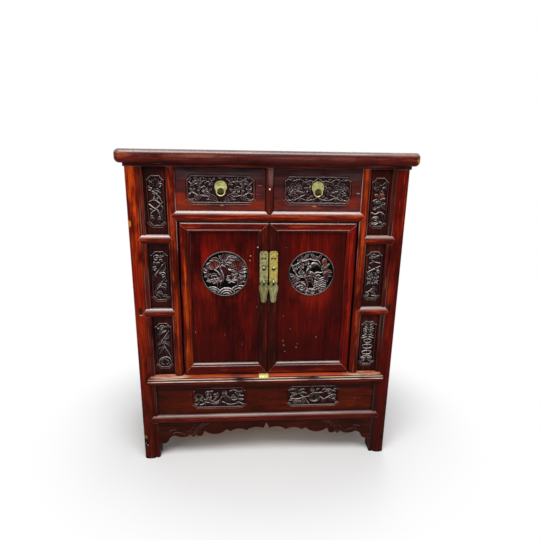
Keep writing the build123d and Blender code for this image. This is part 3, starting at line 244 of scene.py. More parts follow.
# %% The lacquer recipe
def lacquer(
    name, along, deep, body, worn, wear, gloss=0.26, edges=0.8, black=0.5, dust=0.5, film=1.0, pale=0.45,
    sky=(0.12, 0.62), shade=0.0, ledge=0.0, rim=None, marks=(),
):
    """Lacquered wood. wear, edges, black, dust, film and pale say how much of each it shows, from 0 to 1.
    pale is the pale colour on what faces up, part dust and part painted highlight.
    shade is how much darker it gets towards the floor, and ledge how worn its flat top is. The film starts
    where the wood faces up by sky. rim is where a carved field's raised rim and the face behind it are, and
    how pale the rim's sides are; the rim's crest is painted pale as a highlight where it faces up, and the
    channel beside it dark as shade."""
    wire, material, shader = new_finish(name)
    place = wire.node("TexCoord", output="Object")
    facing = wire.node("TexCoord", output="Normal")
    grain = place.stretch(ALONG[along]).noise(1.0, 5.0, 0.6)
    patches = place.stretch(PATCHES[along]).noise(1.0, 7.0, 0.68)
    clouds = place.noise(7.0, 4.0, 0.55)

    rounded, bend = worn_edges(wire, WORN_EDGE["wood"])
    shelter = nearby(wire, CORNER["wood"])
    corner = shelter.between(0.86, 0.42)
    up = facing.part("Z").most(bend.between(0.01, 0.06) * rounded.part("Z"))

    colour = (0.25 * grain + 0.5 * patches + 0.5 * clouds).between(0.46, 0.78).mix(deep, body)
    crown = (0 - facing.part("Y")).between(0.75, 0.99)
    rubbed = 0.35 * grain + 0.7 * patches + 0.2 * crown + 0.3 * clouds
    rubbed = rubbed.between(0.98 - 0.26 * wear, 1.16 - 0.24 * wear)
    colour = (rubbed * (0.16 + 0.56 * grain.between(0.38, 0.57)) * (1 - corner)).mix(colour, worn)
    if shade:
        colour = (place.part("Z").between(0.72, 0.12) * shade).mix(colour, deep)
    aged = (0.8 * clouds + 0.35 * patches).between(0.56, 0.8) * black
    colour = aged.mix(colour, SOOT_AND_SHADE)
    edge = bend.between(0.012, 0.13) * (1 - corner) * (0.4 * grain + clouds).between(0.55, 0.85) * edges
    colour = edge.mix(colour, worn)
    # Painted shade and dirt: darker where the Ambient Occlusion node finds a corner or quirk.
    colour = (corner * 0.92).mix(colour, SOOT_AND_SHADE)

    # Pale on what faces up: part dust, part a painted highlight where the sky would reflect.
    upward = up.between(*sky) * (0.55 + 0.45 * patches.between(0.4, 0.62)) * (1 - 0.6 * corner)
    settled = shelter.between(0.72, 0.5) * shelter.between(0.3, 0.5) * grain.between(0.48, 0.7)
    colour = (upward * pale).mix(colour, DUST_AND_HIGHLIGHT)
    if ledge:
        flat = up.between(0.93, 0.995) * (0.15 + 0.85 * (0.5 * grain + patches).between(0.6, 0.85))
        colour = (flat * ledge).mix(colour, worn)
    colour = (settled * 0.5 * dust).mix(colour, DUST_AND_HIGHLIGHT)

    if rim:
        rim_y, face_y, least = rim
        # The rim's crest is painted pale as a highlight where it faces up, and its channel painted dark as
        # shade.
        crest = place.part("Y").between(rim_y + 0.0004, rim_y + 0.0001)
        channel = place.part("Y").between(face_y + 0.0005, face_y + 0.0014)
        colour = (channel * (1 - 0.55 * up.between(0.2, 0.6)) * 0.95).mix(colour, SOOT_AND_SHADE)
        lit = least + (1 - least) * rounded.part("Z").between(0.0, 0.42)
        colour = (crest * lit * patches.between(0.25, 0.55)).mix(colour, RIM)

    cells = {"Vector": place, "Scale": 38.0, "Randomness": 1.0}
    spot = wire.node("TexVoronoi", {"feature": "F1"}, cells, output="Distance")
    chosen = wire.node("TexVoronoi", {"feature": "F1"}, cells, output="Color").part("X")
    chips = spot.between(0.05, 0.032) * chosen.between(0.93, 0.95)
    colour = (chips * 0.7).mix(colour, DUST_AND_HIGHLIGHT)
    uneven = (0.8 * patches + 0.7 * clouds).between(0.6, 0.86)
    for centre, reach, tone, strength in marks:
        mark = round_mark(place, centre, reach) * strength
        wide = max(reach[0], reach[2]) > STREAKY
        colour = (mark * uneven if wide else mark).mix(colour, tone)

    feed(shader, "Base Color", colour)
    feed(shader, "Roughness", gloss + 0.14 * patches.between(0.35, 0.7) + 0.3 * corner - 0.05 * rubbed)
    feed(shader, "Coat Weight", up.between(sky[0] - 0.07, sky[1] - 0.12) * up.between(1.0, 0.88) * film)
    shader.inputs["Coat Roughness"].default_value = 0.24
    shader.inputs["Coat IOR"].default_value = COAT_IOR["wood"]
    shader.inputs["Specular IOR Level"].default_value = SHEEN
    feed(shader, "Normal", bump(wire, 0.2, 0.001, 0.8 * grain + 1.2 * patches - 3.0 * chips))
    return material


print("lacquer for grain along", ", ".join(ALONG))

# %% [markdown]
# ## Brass
# The door plates are hammered brass sheet, one gone olive and one still yellow; the drawer plates and rings
# are paler. Old brass is a metal under a thin dull skin, so the skin's patches lower Metallic a little and
# raise Roughness, and the rims stay bright where hands reach them.

# %% The brass recipe
def brass(name, clean, skin, stain, stains, skinned=0.5, scale=60.0, metal=0.85, ridge=None, marks=()):
    """Old brass. skinned and stains say how much of it each covers, scale how fine its mottling is, and ridge
    where its ridges start and end."""
    wire, material, shader = new_finish(name)
    place = wire.node("TexCoord", output="Object")
    mottle = place.noise(scale, 5.0, 0.65)
    blots = place.stretch((1.0, 1.0, 0.6)).noise(scale * 1.1, 4.0, 0.6)
    speckle = place.noise(scale * 9, 2.0, 0.5)
    dull = (mottle * 0.8 + 0.2 * speckle).between(0.62 - 0.3 * skinned, 0.78 - 0.3 * skinned)
    colour = dull.mix(clean, skin)
    stained = blots.between(0.62 - 0.2 * stains, 0.78 - 0.2 * stains)
    colour = (stained * 0.7).mix(colour, stain)
    if ridge:
        high = place.part("Y").between(*ridge)
        colour = ((1 - high) * 0.4).mix(colour, stain)
        colour = (high * 0.5 * mottle.between(0.3, 0.6)).mix(colour, clean)

    _, bend = worn_edges(wire, WORN_EDGE["brass"])
    rim = bend.between(0.02, 0.2) * mottle.between(0.3, 0.6)
    corner = nearby(wire, CORNER["brass"]).between(0.7, 0.25)
    colour = (rim * 0.6).mix(colour, clean)
    # Painted shade and dirt: darker in the brass's corners.
    colour = (corner * 0.75).mix(colour, SOOT_AND_SHADE)
    for centre, reach, tone, strength in marks:
        colour = (round_mark(place, centre, reach) * strength).mix(colour, tone)
    feed(shader, "Base Color", colour)
    feed(shader, "Metallic", metal - 0.4 * metal * dull - 0.3 * metal * corner)
    feed(shader, "Roughness", 0.3 + 0.2 * dull + 0.12 * speckle + 0.2 * corner)
    feed(shader, "Normal", bump(wire, 0.25, 0.0006, mottle + 0.25 * speckle))
    return material


print("brass shines within", 1000 * WORN_EDGE["brass"], "mm of its edges")

# %% [markdown]
# ## Marks of use
# Besides the wear that the recipe spreads over all the wood, some marks sit in one place: a chip, a knot,
# the grey film along the top of a drawer, the shade painted into a quirk, a slot or a gap, and a highlight
# painted along a bead. Painting them by hand would need an image, so each is a soft oval in the piece's own
# space instead, with its middle, its reach along each axis, its colour and its strength. Most lie on one flat
# front, and a small function gives a row of them their common depth. Later marks lie over earlier ones.

# %% Marks on one face
def marks_on(y, deep, *rows):
    """Marks on one front face. Each row is x, z, reach along x, reach along z, colour and strength."""
    return [((x, y, z), (wide, deep, high), tone, strength) for x, z, wide, high, tone, strength in rows]


FRONT = -0.21  # where the legs, stiles and rails end towards the room
ALL_ALONG = 4.0  # a reach that passes the ends of any member
# Ochre for wear, and two dark colours for the shade painted in a quirk and in a slot.
OCHRE, QUIRK_SHADE, SLOT_SHADE = paint(190, 122, 44), paint(38, 20, 18), paint(26, 22, 14)
# Where a carved field's raised rim is, where the face behind it is, and how pale the rim's sides are.
PANEL_RIM = (-0.1968, -0.196, 0.015)
BASE_RIM = (-0.1968, -0.196, 0.0)
DRAWER_RIM = (-0.2028, -0.202, 0.05)
MEDALLION_RIM = (-0.199, -0.197, 0.05)
print("a mark that runs the whole way reaches", ALL_ALONG, "m")

# %% [markdown]
# ## Uprights
# The two front legs are the brightest wood, with orange crowns where hands and bedding brush past. Each has
# a small slot at half height, painted dark as shade with a painted highlight on its lower edge, chips at the
# foot, and a quirk beside the bead on its inner edge, painted dark as shade, with thin painted highlights
# along its edges. The stiles are like them, with painted highlights along their edges, and the short divider
# between the drawers is browner, with shade painted along its sides. Each finish is the same recipe with its
# own values.

# %% Legs
LEFT_LEG_MARKS = marks_on(FRONT, 0.05, (-0.375, 0.50, 0.06, 0.25, paint(118, 13, 6), 0.75)) + marks_on(
    FRONT, 0.03,
    # A slot painted dark as shade, with a highlight painted on its lower edge.
    (-0.378, 0.517, 0.0052, 0.0115, SLOT_SHADE, 0.95),
    (-0.378, 0.5035, 0.0048, 0.0015, DUST_AND_HIGHLIGHT, 0.6),
    (-0.393, 0.777, 0.005, 0.009, OCHRE, 0.8),
    (-0.389, 0.060, 0.008, 0.0124, SOOT_AND_SHADE, 0.92),
    (-0.391, 0.082, 0.006, 0.006, paint(128, 104, 50), 0.7),
    (-0.386, 0.052, 0.0016, 0.0016, DUST_AND_HIGHLIGHT, 0.9),
    (-0.392, 0.058, 0.0014, 0.0014, DUST_AND_HIGHLIGHT, 0.9),
    # Shade painted in the quirk beside the bead, and thin highlights painted along its edges.
    (-0.356, 0.50, 0.0085, 2.0, QUIRK_SHADE, 0.9),
    (-0.3616, 0.62, 0.0009, 0.33, DUST_AND_HIGHLIGHT, 0.3),
    (-0.3508, 0.50, 0.0008, 0.44, DUST_AND_HIGHLIGHT, 0.2),
)
leg_left = lacquer(
    "lacquer_leg_left", "z", paint(54, 8, 3), paint(126, 22, 6), paint(214, 82, 16), wear=0.7, black=0.7,
    shade=0.85, pale=0.3, marks=LEFT_LEG_MARKS,
)
RIGHT_LEG_MARKS = marks_on(FRONT, 0.05, (0.375, 0.50, 0.06, 0.28, paint(96, 10, 5), 0.5)) + marks_on(
    FRONT, 0.03,
    # A slot painted dark as shade.
    (0.3735, 0.523, 0.0050, 0.0125, SLOT_SHADE, 0.95),
    (0.389, 0.057, 0.007, 0.009, SOOT_AND_SHADE, 0.9),
    # Shade painted in the quirk beside the bead, and thin highlights painted along its edges.
    (0.356, 0.50, 0.0085, 2.0, QUIRK_SHADE, 0.9),
    (0.3616, 0.62, 0.0009, 0.33, DUST_AND_HIGHLIGHT, 0.2),
    (0.3508, 0.50, 0.0008, 0.44, DUST_AND_HIGHLIGHT, 0.12),
    (0.356, 0.60, 0.003, 0.02, paint(150, 110, 50), 0.5),
)
leg_right = lacquer(
    "lacquer_leg_right", "z", paint(50, 6, 3), paint(112, 17, 5), paint(190, 62, 16), wear=0.5, black=0.7,
    shade=0.8, pale=0.3, marks=RIGHT_LEG_MARKS,
)
print(leg_left.name, "and", leg_right.name)

# %% Stiles, divider and door stiles
stile = lacquer(
    "lacquer_stile", "z", paint(52, 9, 4), paint(118, 24, 9), paint(208, 80, 22), wear=0.65, black=0.7,
    shade=0.5, pale=0.3, marks=marks_on(
        FRONT, 0.03,
        # Thin highlights painted along the stiles' edges.
        (-0.2632, 0.80, 0.0011, 0.14, DUST_AND_HIGHLIGHT, 0.4),
        (0.2632, 0.80, 0.0011, 0.14, DUST_AND_HIGHLIGHT, 0.4),
        (-0.2858, 0.62, 0.0011, 0.30, DUST_AND_HIGHLIGHT, 0.3),
        (0.2858, 0.62, 0.0011, 0.30, DUST_AND_HIGHLIGHT, 0.3),
    ),
)
divider = lacquer(
    "lacquer_divider", "z", paint(46, 12, 9), paint(82, 28, 20), paint(160, 66, 36), wear=0.4, black=0.7,
    pale=0.3, marks=marks_on(
        FRONT, 0.03,
        (0.0, 0.8765, 0.0022, 0.0022, paint(250, 235, 220), 1.0),
        (0.004, 0.915, 0.009, 0.030, paint(126, 90, 88), 0.6),
        # Shade painted along the divider's sides, in the gaps beside the drawers.
        (-0.0105, 0.87, 0.0016, 0.07, SOOT_AND_SHADE, 0.8),
        (0.0105, 0.87, 0.0016, 0.07, SOOT_AND_SHADE, 0.8),
    ),
)
# A black line painted along each door's outer edge: shade in the gap beside the stile.
DOOR_GAP_SHADE = marks_on(FRONT, 0.03, *[(side * 0.2602, 0.54, 0.0017, 0.4, SOOT_AND_SHADE, 1.6) for side in (-1, 1)])
door_edge = lacquer(
    "lacquer_door_edge", "z", paint(58, 9, 4), paint(130, 24, 8), paint(224, 92, 20), wear=0.7, black=0.7,
    shade=0.5, marks=DOOR_GAP_SHADE,
)
door_edge_right = lacquer(
    "lacquer_door_edge_right", "z", paint(58, 6, 4), paint(128, 18, 9), paint(196, 62, 22), wear=0.4,
    black=0.7, shade=0.5, marks=DOOR_GAP_SHADE,
)
meeting = lacquer(
    "lacquer_meeting", "z", paint(34, 7, 4), paint(66, 15, 8), paint(120, 34, 14), wear=0.35, black=0.8,
    shade=0.4,
)
print("five finishes for stiles")

# %% [markdown]
# ## Rails and the top
# Rails are rounded, so their upper slopes catch the sky and their dust, and are painted pale there, part
# dust and part highlight. The waist is a ledge with beads below it: the ledge is rubbed to bare orange, and
# its beads are pale lines painted as highlights between grooves painted black as shade. The top is browner
# than the rest, chipped to bare wood at its right end, with a dark patch along the middle of its front
# painted as the shade and reflection of things that stood on it.

# %% Rails
rail = lacquer(
    "lacquer_rail", "x", paint(54, 9, 5), paint(116, 24, 9), paint(206, 78, 22), wear=0.6, dust=0.9,
    pale=0.45, film=0.85,
)
low_rail = lacquer(
    "lacquer_low_rail", "x", paint(44, 8, 4), paint(98, 21, 9), paint(186, 70, 30), wear=0.4, dust=0.9,
    pale=0.4, film=0.4, sky=(0.3, 0.75),
)
door_rail = lacquer(
    "lacquer_door_rail", "x", paint(48, 7, 4), paint(106, 19, 8), paint(196, 70, 20), wear=0.35, pale=0.45,
    film=0.6, shade=0.5,
)
side_rail = lacquer(
    "lacquer_side_rail", "y", paint(54, 9, 5), paint(112, 22, 9), paint(190, 70, 22), wear=0.5,
)
LEDGE_END = paint(206, 184, 160)
waist = lacquer(
    "lacquer_waist", "x", paint(42, 7, 3), paint(104, 22, 8), paint(206, 74, 20), wear=0.6, pale=0.12,
    film=0.15, sky=(0.4, 0.8), ledge=0.9, black=0.2, marks=[
        # On the nose and beads: orange wear, pale lines painted as highlights on their crowns, and black
        # lines painted as shade in the grooves. The pale patches at the ends are dust.
        ((0.0, -0.2155, 0.2980), (ALL_ALONG, 0.008, 0.0036), paint(190, 66, 22), 0.6),
        ((0.0, -0.2175, 0.2966), (ALL_ALONG, 0.006, 0.0013), paint(60, 12, 6), 1.1),
        ((0.0, -0.213, 0.2880), (ALL_ALONG, 0.02, 0.0019), SOOT_AND_SHADE, 1.4),
        ((0.0, -0.213, 0.2768), (ALL_ALONG, 0.02, 0.0012), SOOT_AND_SHADE, 1.2),
        ((0.0, -0.2185, 0.2925), (ALL_ALONG, 0.006, 0.0017), paint(236, 202, 164), 1.5),
        ((0.0, -0.2165, 0.2838), (ALL_ALONG, 0.006, 0.0013), paint(214, 196, 186), 1.1),
        ((0.0, -0.2100, 0.2718), (ALL_ALONG, 0.02, 0.0022), SOOT_AND_SHADE, 0.8),
        ((-0.305, -0.213, 0.300), (0.055, 0.014, 0.004), LEDGE_END, 0.75),
        ((0.305, -0.213, 0.300), (0.055, 0.014, 0.004), LEDGE_END, 0.7),
    ],
)
print("five finishes for rails")

# %% Top
END_WEAR = [
    ((0.417, -0.222, 0.962), (0.010, 0.02, 0.013), BARE_WOOD, 0.9),
    ((0.408, -0.227, 0.972), (0.016, 0.01, 0.006), paint(190, 96, 34), 0.8),
    ((-0.400, -0.226, 0.964), (0.030, 0.01, 0.007), paint(176, 84, 38), 0.6),
]
TOP_WEAR_AND_SHADE = END_WEAR + [
    # A dark patch along the middle of the front: painted shade and reflection of things that stood on the
    # top.
    ((-0.03, -0.226, 0.964), (0.34, 0.03, 0.016), paint(60, 34, 36), 0.75),
    ((-0.20, -0.2275, 0.963), (0.12, 0.006, 0.004), paint(158, 86, 56), 0.5),
    ((0.16, -0.2275, 0.961), (0.16, 0.006, 0.004), paint(140, 68, 46), 0.4),
]


def top_lacquer(name, along, marks):
    return lacquer(
        name, along, paint(40, 8, 6), paint(96, 27, 20), paint(152, 58, 30), wear=0.45, dust=0.8, film=0.6,
        pale=0.36, sky=(0.02, 0.6), marks=marks,
    )


top_front = top_lacquer("lacquer_top", "x", TOP_WEAR_AND_SHADE)
top_end = top_lacquer("lacquer_top_end", "y", END_WEAR)
print(top_front.name, "and", top_end.name)

# %% [markdown]
# ## Drawers, carved fields and door panels
# The drawers and the base are browner than the doors. Carved fields have a raised rim, which is rubbed pale
# and painted paler as a highlight where it faces up, with shade painted dark in the channel beside it. The
# ground of the two door medallions is painted nearly black as the shade that openwork would show, so that
# their carvings stand out. The door panels are redder round the medallions, darker low down, and lightly
# chipped.

# %% Drawers
DRAWER_U = 0.137  # how far each drawer's middle is from the cabinet's
DRAWER_FACE, DARK_IN_RING = -0.202, paint(52, 44, 16)
DRAWER_MARKS = marks_on(
    DRAWER_FACE, 0.01,
    (-DRAWER_U, 0.918, 0.15, 0.020, paint(62, 48, 50), 1.0),
    (DRAWER_U, 0.918, 0.15, 0.020, paint(62, 46, 48), 1.0),
    (-0.250, 0.848, 0.018, 0.016, paint(150, 42, 14), 0.8),
    (-0.243, 0.832, 0.026, 0.010, paint(130, 42, 16), 0.45),
    (0.035, 0.836, 0.028, 0.012, paint(132, 40, 18), 0.5),
    (0.245, 0.840, 0.024, 0.016, paint(140, 40, 18), 0.5),
    (-0.17, 0.821, 0.09, 0.006, paint(108, 34, 20), 0.5),
    (0.14, 0.821, 0.12, 0.005, paint(120, 56, 48), 0.5),
    # Shade painted dark along the top of each drawer, under the top's overhang.
    (-DRAWER_U, 0.928, 0.13, 0.008, paint(20, 14, 15), 0.8),
    (DRAWER_U, 0.928, 0.13, 0.008, paint(24, 18, 20), 0.8),
    (-0.030, 0.834, 0.034, 0.011, paint(134, 38, 14), 0.55),
# A black line painted along the drawers' top edge: shade in the gap under the top.
) + marks_on(-0.2, 0.02, (0.0, 0.9318, ALL_ALONG, 0.0022, SOOT_AND_SHADE, 1.6)) + marks_on(
    DRAWER_FACE, 0.01,
    (-0.134, 0.8295, 0.005, 0.0016, paint(150, 120, 100), 0.9),
    (0.129, 0.8285, 0.006, 0.0016, paint(190, 110, 60), 0.9),
    (0.254, 0.866, 0.006, 0.0012, paint(160, 130, 124), 0.9),
    (-0.0276, 0.885, 0.007, 0.0012, paint(110, 86, 80), 0.9),
    # Darker inside each ring.
    (-DRAWER_U, 0.8685, 0.0105, 0.0105, DARK_IN_RING, 1.0),
    (DRAWER_U, 0.8685, 0.0105, 0.0105, DARK_IN_RING, 1.0),
)
drawer_wood = lacquer(
    "lacquer_drawer", "x", paint(40, 18, 18), paint(80, 36, 34), paint(156, 54, 24), wear=0.3, edges=0.5,
    dust=0.5, pale=0.7, film=0.4, rim=DRAWER_RIM, marks=DRAWER_MARKS,
)
print(drawer_wood.name, "with", len(DRAWER_MARKS), "marks")

# %% Carved fields, base and apron
carved_wood = lacquer(
    "lacquer_carved_panel", "z", paint(28, 9, 8), paint(68, 20, 13), paint(140, 46, 20), wear=0.25,
    edges=0.5, dust=0.15, pale=0.75, rim=PANEL_RIM,
)
base_wood = lacquer(
    "lacquer_base", "x", paint(36, 10, 4), paint(88, 24, 8), paint(134, 50, 18), wear=0.3, edges=0.5,
    pale=0.75, rim=BASE_RIM,
    # A dark band painted along the top of the base's field: shade under the waist rail.
    marks=marks_on(-0.1968, 0.02, (0.0, 0.2455, ALL_ALONG, 0.0075, paint(44, 15, 10), 1.1)),
)
apron_wood = lacquer(
    "lacquer_apron", "x", paint(26, 8, 4), paint(66, 21, 9), paint(130, 60, 26), wear=0.25, edges=0.8,
    pale=0.75,
)
# The medallion ground is painted nearly black: the shade that openwork would show through to the inside.
ground = lacquer(
    "lacquer_ground", "x", paint(3, 1, 2), paint(7, 3, 4), paint(90, 60, 54), wear=0.0, edges=0.3, dust=0.1,
    film=0.2, pale=0.4, rim=MEDALLION_RIM,
    marks=[((0.0, -0.184, 0.627), (ALL_ALONG, 0.006, ALL_ALONG), paint(70, 16, 8), 1.6)],
)
print("four finishes for fields, base and apron")

# %% Door and side panels
DOOR_U = 0.128875  # how far each door's middle is from the cabinet's
PANEL_FACE, GLOW = -0.197, paint(150, 34, 12)
PANEL_MARKS = marks_on(
    PANEL_FACE, 0.03,
    (-DOOR_U, 0.622, 0.084, 0.084, GLOW, 0.5),
    (DOOR_U, 0.605, 0.078, 0.080, GLOW, 0.3),
    (0.215, 0.63, 0.024, 0.14, paint(38, 7, 4), 0.85),
    (0.045, 0.64, 0.026, 0.12, paint(40, 8, 5), 0.75),
    (0.13, 0.36, 0.12, 0.07, paint(40, 5, 3), 0.6),
    (-0.13, 0.36, 0.12, 0.06, paint(40, 5, 3), 0.5),
    (0.069, 0.442, 0.003, 0.004, SOOT_AND_SHADE, 0.9),
    (0.147, 0.428, 0.0025, 0.003, SOOT_AND_SHADE, 0.9),
    (-0.032, 0.708, 0.0022, 0.0022, DUST_AND_HIGHLIGHT, 0.9),
    (-0.053, 0.682, 0.0018, 0.0018, DUST_AND_HIGHLIGHT, 0.8),
    (-0.055, 0.668, 0.0016, 0.0016, DUST_AND_HIGHLIGHT, 0.8),
    (-0.205, 0.70, 0.03, 0.09, paint(132, 12, 6), 0.5),
)
PANEL_CHIPS = (  # x, z and reach of each
    (0.0473, 0.493, 0.0010), (0.0488, 0.410, 0.0013), (0.0516, 0.394, 0.0014), (0.0551, 0.373, 0.0012),
    (0.0936, 0.399, 0.0010), (0.0905, 0.387, 0.0013), (0.1528, 0.421, 0.0013), (0.0700, 0.449, 0.0010),
    (-0.2214, 0.442, 0.0013), (-0.0350, 0.523, 0.0009), (-0.0787, 0.400, 0.0009),
)
PANEL_MARKS += marks_on(
    PANEL_FACE, 0.03, *[(x, z, reach, 1.6 * reach, DUST_AND_HIGHLIGHT, 0.4) for x, z, reach in PANEL_CHIPS]
)
door_wood = lacquer(
    "lacquer_door_panel", "z", paint(36, 3, 2), paint(100, 12, 5), paint(160, 32, 10), wear=0.3, black=0.8,
    gloss=0.22, edges=0.4, pale=0.3, shade=0.45, marks=PANEL_MARKS,
)
side_wood = lacquer(
    "lacquer_side_panel", "z", paint(38, 3, 2), paint(104, 14, 7), paint(160, 32, 10), wear=0.3, black=0.8,
    shade=0.4,
)
print(door_wood.name, "with", len(PANEL_MARKS), "marks")

# %% [markdown]
# ## Bare wood and brass fittings
# The back and the insides were never lacquered, so they are plain softwood, grey-brown outside and pale
# inside. The brass differs from piece to piece: olive and yellow door plates, paler rings and escutcheons,
# darker pendants and bright worn pins, painted near white so that they show as glints. The nails through
# the plates are dark, and shade is painted dark below each pin's loop, on the loop's lower half and round
# each pull's eye.

# %% Bare wood
back_wood = lacquer(
    "back_wood", "z", paint(74, 44, 32), paint(112, 72, 50), paint(146, 104, 74), wear=0.3, gloss=0.62,
    film=0.2, pale=0.2,
)
bare_wood = lacquer(
    "bare_wood", "x", paint(140, 98, 62), paint(178, 134, 88), paint(200, 160, 112), wear=0.3, gloss=0.66,
    black=0.1, dust=0.3, film=0.1, pale=0.1,
)
print(back_wood.name, "and", bare_wood.name)

# %% Brass fittings
# A near-black for dark nail heads, and for shade painted below pins and round the pulls' eyes.
NAIL_AND_SHADE = paint(14, 10, 4)
PLATE_U = 0.01425  # how far each door plate's middle is from the cabinet's
# Where the dark nails are and where shade is painted below each pin's loop: on the plates, then on the pins.
PLATE_PINS = ((-0.0045, 0.6765, 0.003), (0.0045, 0.6765, 0.003), (0, 0.6435, 0.0045), (0, 0.6015, 0.0036))
PIN_FEET = ((-0.0045, 0.677, 0.003), (0.0045, 0.677, 0.003), (0, 0.6452, 0.0044), (0, 0.6030, 0.0046))


def pin_dirt_and_shade(side, y, deep, strength, places):
    """Dark marks round one door's pins and nails, at places of u, z and reach: dark nail heads, and shade
    painted below each pin's loop.
    """
    rows = [(side * PLATE_U + u, z, reach, reach, NAIL_AND_SHADE, strength) for u, z, reach in places]
    return marks_on(y, deep, *rows)


olive_brass = brass(
    "brass_olive", paint(160, 155, 104), paint(88, 84, 46), paint(56, 48, 22), stains=0.5, scale=150.0,
    marks=pin_dirt_and_shade(-1, -0.209, 0.01, 0.95, PLATE_PINS),
)
yellow_brass = brass(
    "brass_yellow", paint(188, 168, 86), paint(112, 102, 54), paint(112, 66, 18), stains=0.5, scale=140.0,
    marks=pin_dirt_and_shade(1, -0.209, 0.01, 0.95, PLATE_PINS),
)
patch_brass = brass(
    "brass_patch", paint(226, 216, 126), paint(196, 180, 92), paint(150, 120, 50), stains=0.1, metal=0.2,
)
# Darker inside each ring, on its plate and on the carving behind it.
RING_PLACES = marks_on(
    -0.2035, 0.01, *[(side * DRAWER_U, 0.8685, 0.0098, 0.0098, paint(56, 46, 14), 0.95) for side in (-1, 1)]
)
plate_brass = brass(
    "brass_escutcheon", paint(182, 180, 114), paint(126, 124, 72), paint(84, 76, 40), stains=0.3,
    marks=RING_PLACES,
)
pale_brass = brass("brass_pale", paint(196, 190, 134), paint(134, 128, 80), paint(84, 74, 40), stains=0.2)
# Shade painted round each pull's eye, and an olive tone on the left pull.
PULL_MARKS = marks_on(
    -0.216, 0.01, *[(side * PLATE_U, 0.5995, 0.0038, 0.0042, NAIL_AND_SHADE, 0.95) for side in (-1, 1)]
) + marks_on(-0.216, 0.02, (-PLATE_U, 0.575, 0.02, 0.05, paint(86, 80, 42), 0.45))
pendant_brass = brass(
    "brass_pendant", paint(170, 164, 112), paint(78, 72, 42), paint(40, 34, 16), stains=0.45, scale=170.0,
    ridge=(-0.2163, -0.2176), marks=PULL_MARKS,
)
# The pins are worn brass painted near white, so that they show as glints; their loops' lower halves are
# painted dark as shade.
pin_brass = brass(
    "brass_pin", paint(250, 246, 232), paint(226, 220, 200), paint(120, 104, 60), skinned=0.1, stains=0.0,
    metal=0.5, marks=[mark for side in (-1, 1) for mark in pin_dirt_and_shade(side, -0.212, 0.02, 1.0, PIN_FEET)],
)
print("seven finishes for brass")

# %% [markdown]
# ## Giving the pieces their finish
# Each CAD piece already has a material slot, so a finish is put into that slot and the piece stays as it
# is. A table from piece to finish keeps the choice in one place; the pieces that come in pairs are filled
# in by a loop.

# %% A finish for every piece
finishes = {
    "top_long_rails": top_front, "top_end_rails": top_end, "top_panel": top_front, "top_battens": bare_wood,
    "drawer_divider": divider, "drawer_rail": rail, "waist_rail": waist, "base_rail_front": low_rail,
    "base_panel_front": base_wood, "apron_front": apron_wood, "side_aprons": side_rail,
    "back_rails": back_wood, "back_panels": back_wood, "cupboard_floor": bare_wood, "base_board": bare_wood,
    "drawer_runners": bare_wood, "floor_hatch": bare_wood, "latch_plate": patch_brass,
}
for side, leg, hinge_stile, plate in (
    ("left", leg_left, door_edge, olive_brass), ("right", leg_right, door_edge_right, yellow_brass),
):
    finishes[f"leg_front_{side}"] = finishes[f"leg_back_{side}"] = leg
    finishes[f"stile_{side}"] = stile
    finishes[f"short_rails_{side}"] = rail
    finishes[f"side_rails_{side}"] = side_rail
    finishes[f"side_panels_{side}"] = side_wood
    for level in ("upper", "middle", "lower"):
        finishes[f"panel_{side}_{level}"] = carved_wood
    finishes[f"door_{side}_hinge_stile"] = hinge_stile
    finishes[f"door_{side}_meeting_stile"] = meeting
    finishes[f"door_{side}_rails"] = door_rail
    finishes[f"door_{side}_panel"] = door_wood
    finishes[f"door_{side}_medallion"] = ground
    finishes[f"door_{side}_plate"] = plate
    finishes[f"door_{side}_pull"] = pendant_brass
    finishes[f"door_{side}_fixings"] = pin_brass
    finishes[f"drawer_{side}_front"] = drawer_wood
    finishes[f"drawer_{side}_box"] = bare_wood
    finishes[f"drawer_{side}_escutcheon"] = plate_brass
    finishes[f"drawer_{side}_ring"] = pale_brass

for name, finish in finishes.items():
    for slot in nodes[name].material_slots:
        slot.material = finish
print("finished", len(finishes), "pieces; left over:", sorted(set(nodes) - set(finishes)))

# %% [markdown]
# ## How the carvings are made
# Each sunk field is carved from the solid: stems, leaves and petals are left standing on a flat ground,
# rounded over, and cut in where one passes behind another. Such work could be sculpted by hand or built
# leaf by leaf as separate meshes. Here a fine grid is raised instead, because a relief is a height above
# every point of its ground: each motif is a small function that says how high the wood stands, and a later
# motif covers the one behind it and cuts a fine groove round itself, as a carver does. Lengths in these
# cells are millimetres, u to the right and v up from the field's middle.

# %% A field of heights
GRID_STEP = 0.75
GROOVE = 0.8  # how wide a motif cuts in round itself
GROOVE_FLOOR = 0.35  # the share of the wood's height that is left beside the motif
THINNEST = 0.15  # the least that a motif stands out
MARGIN = 1.5  # how far past a motif the grid is worked on, more than its groove


def smooth_line(points, steps=10):
    """Points along a smooth line through the given ones."""
    p = np.array([points[0], *points, points[-1]], float)
    t = np.linspace(0, 1, steps, endpoint=False)[:, None]
    spans = []
    for a, b, c, d in zip(p, p[1:], p[2:], p[3:]):
        spans.append(b + 0.5 * t * (c - a + t * (2 * a - 5 * b + 4 * c - d + t * (3 * (b - c) + d - a))))
    return np.vstack([*spans, p[-1:]])


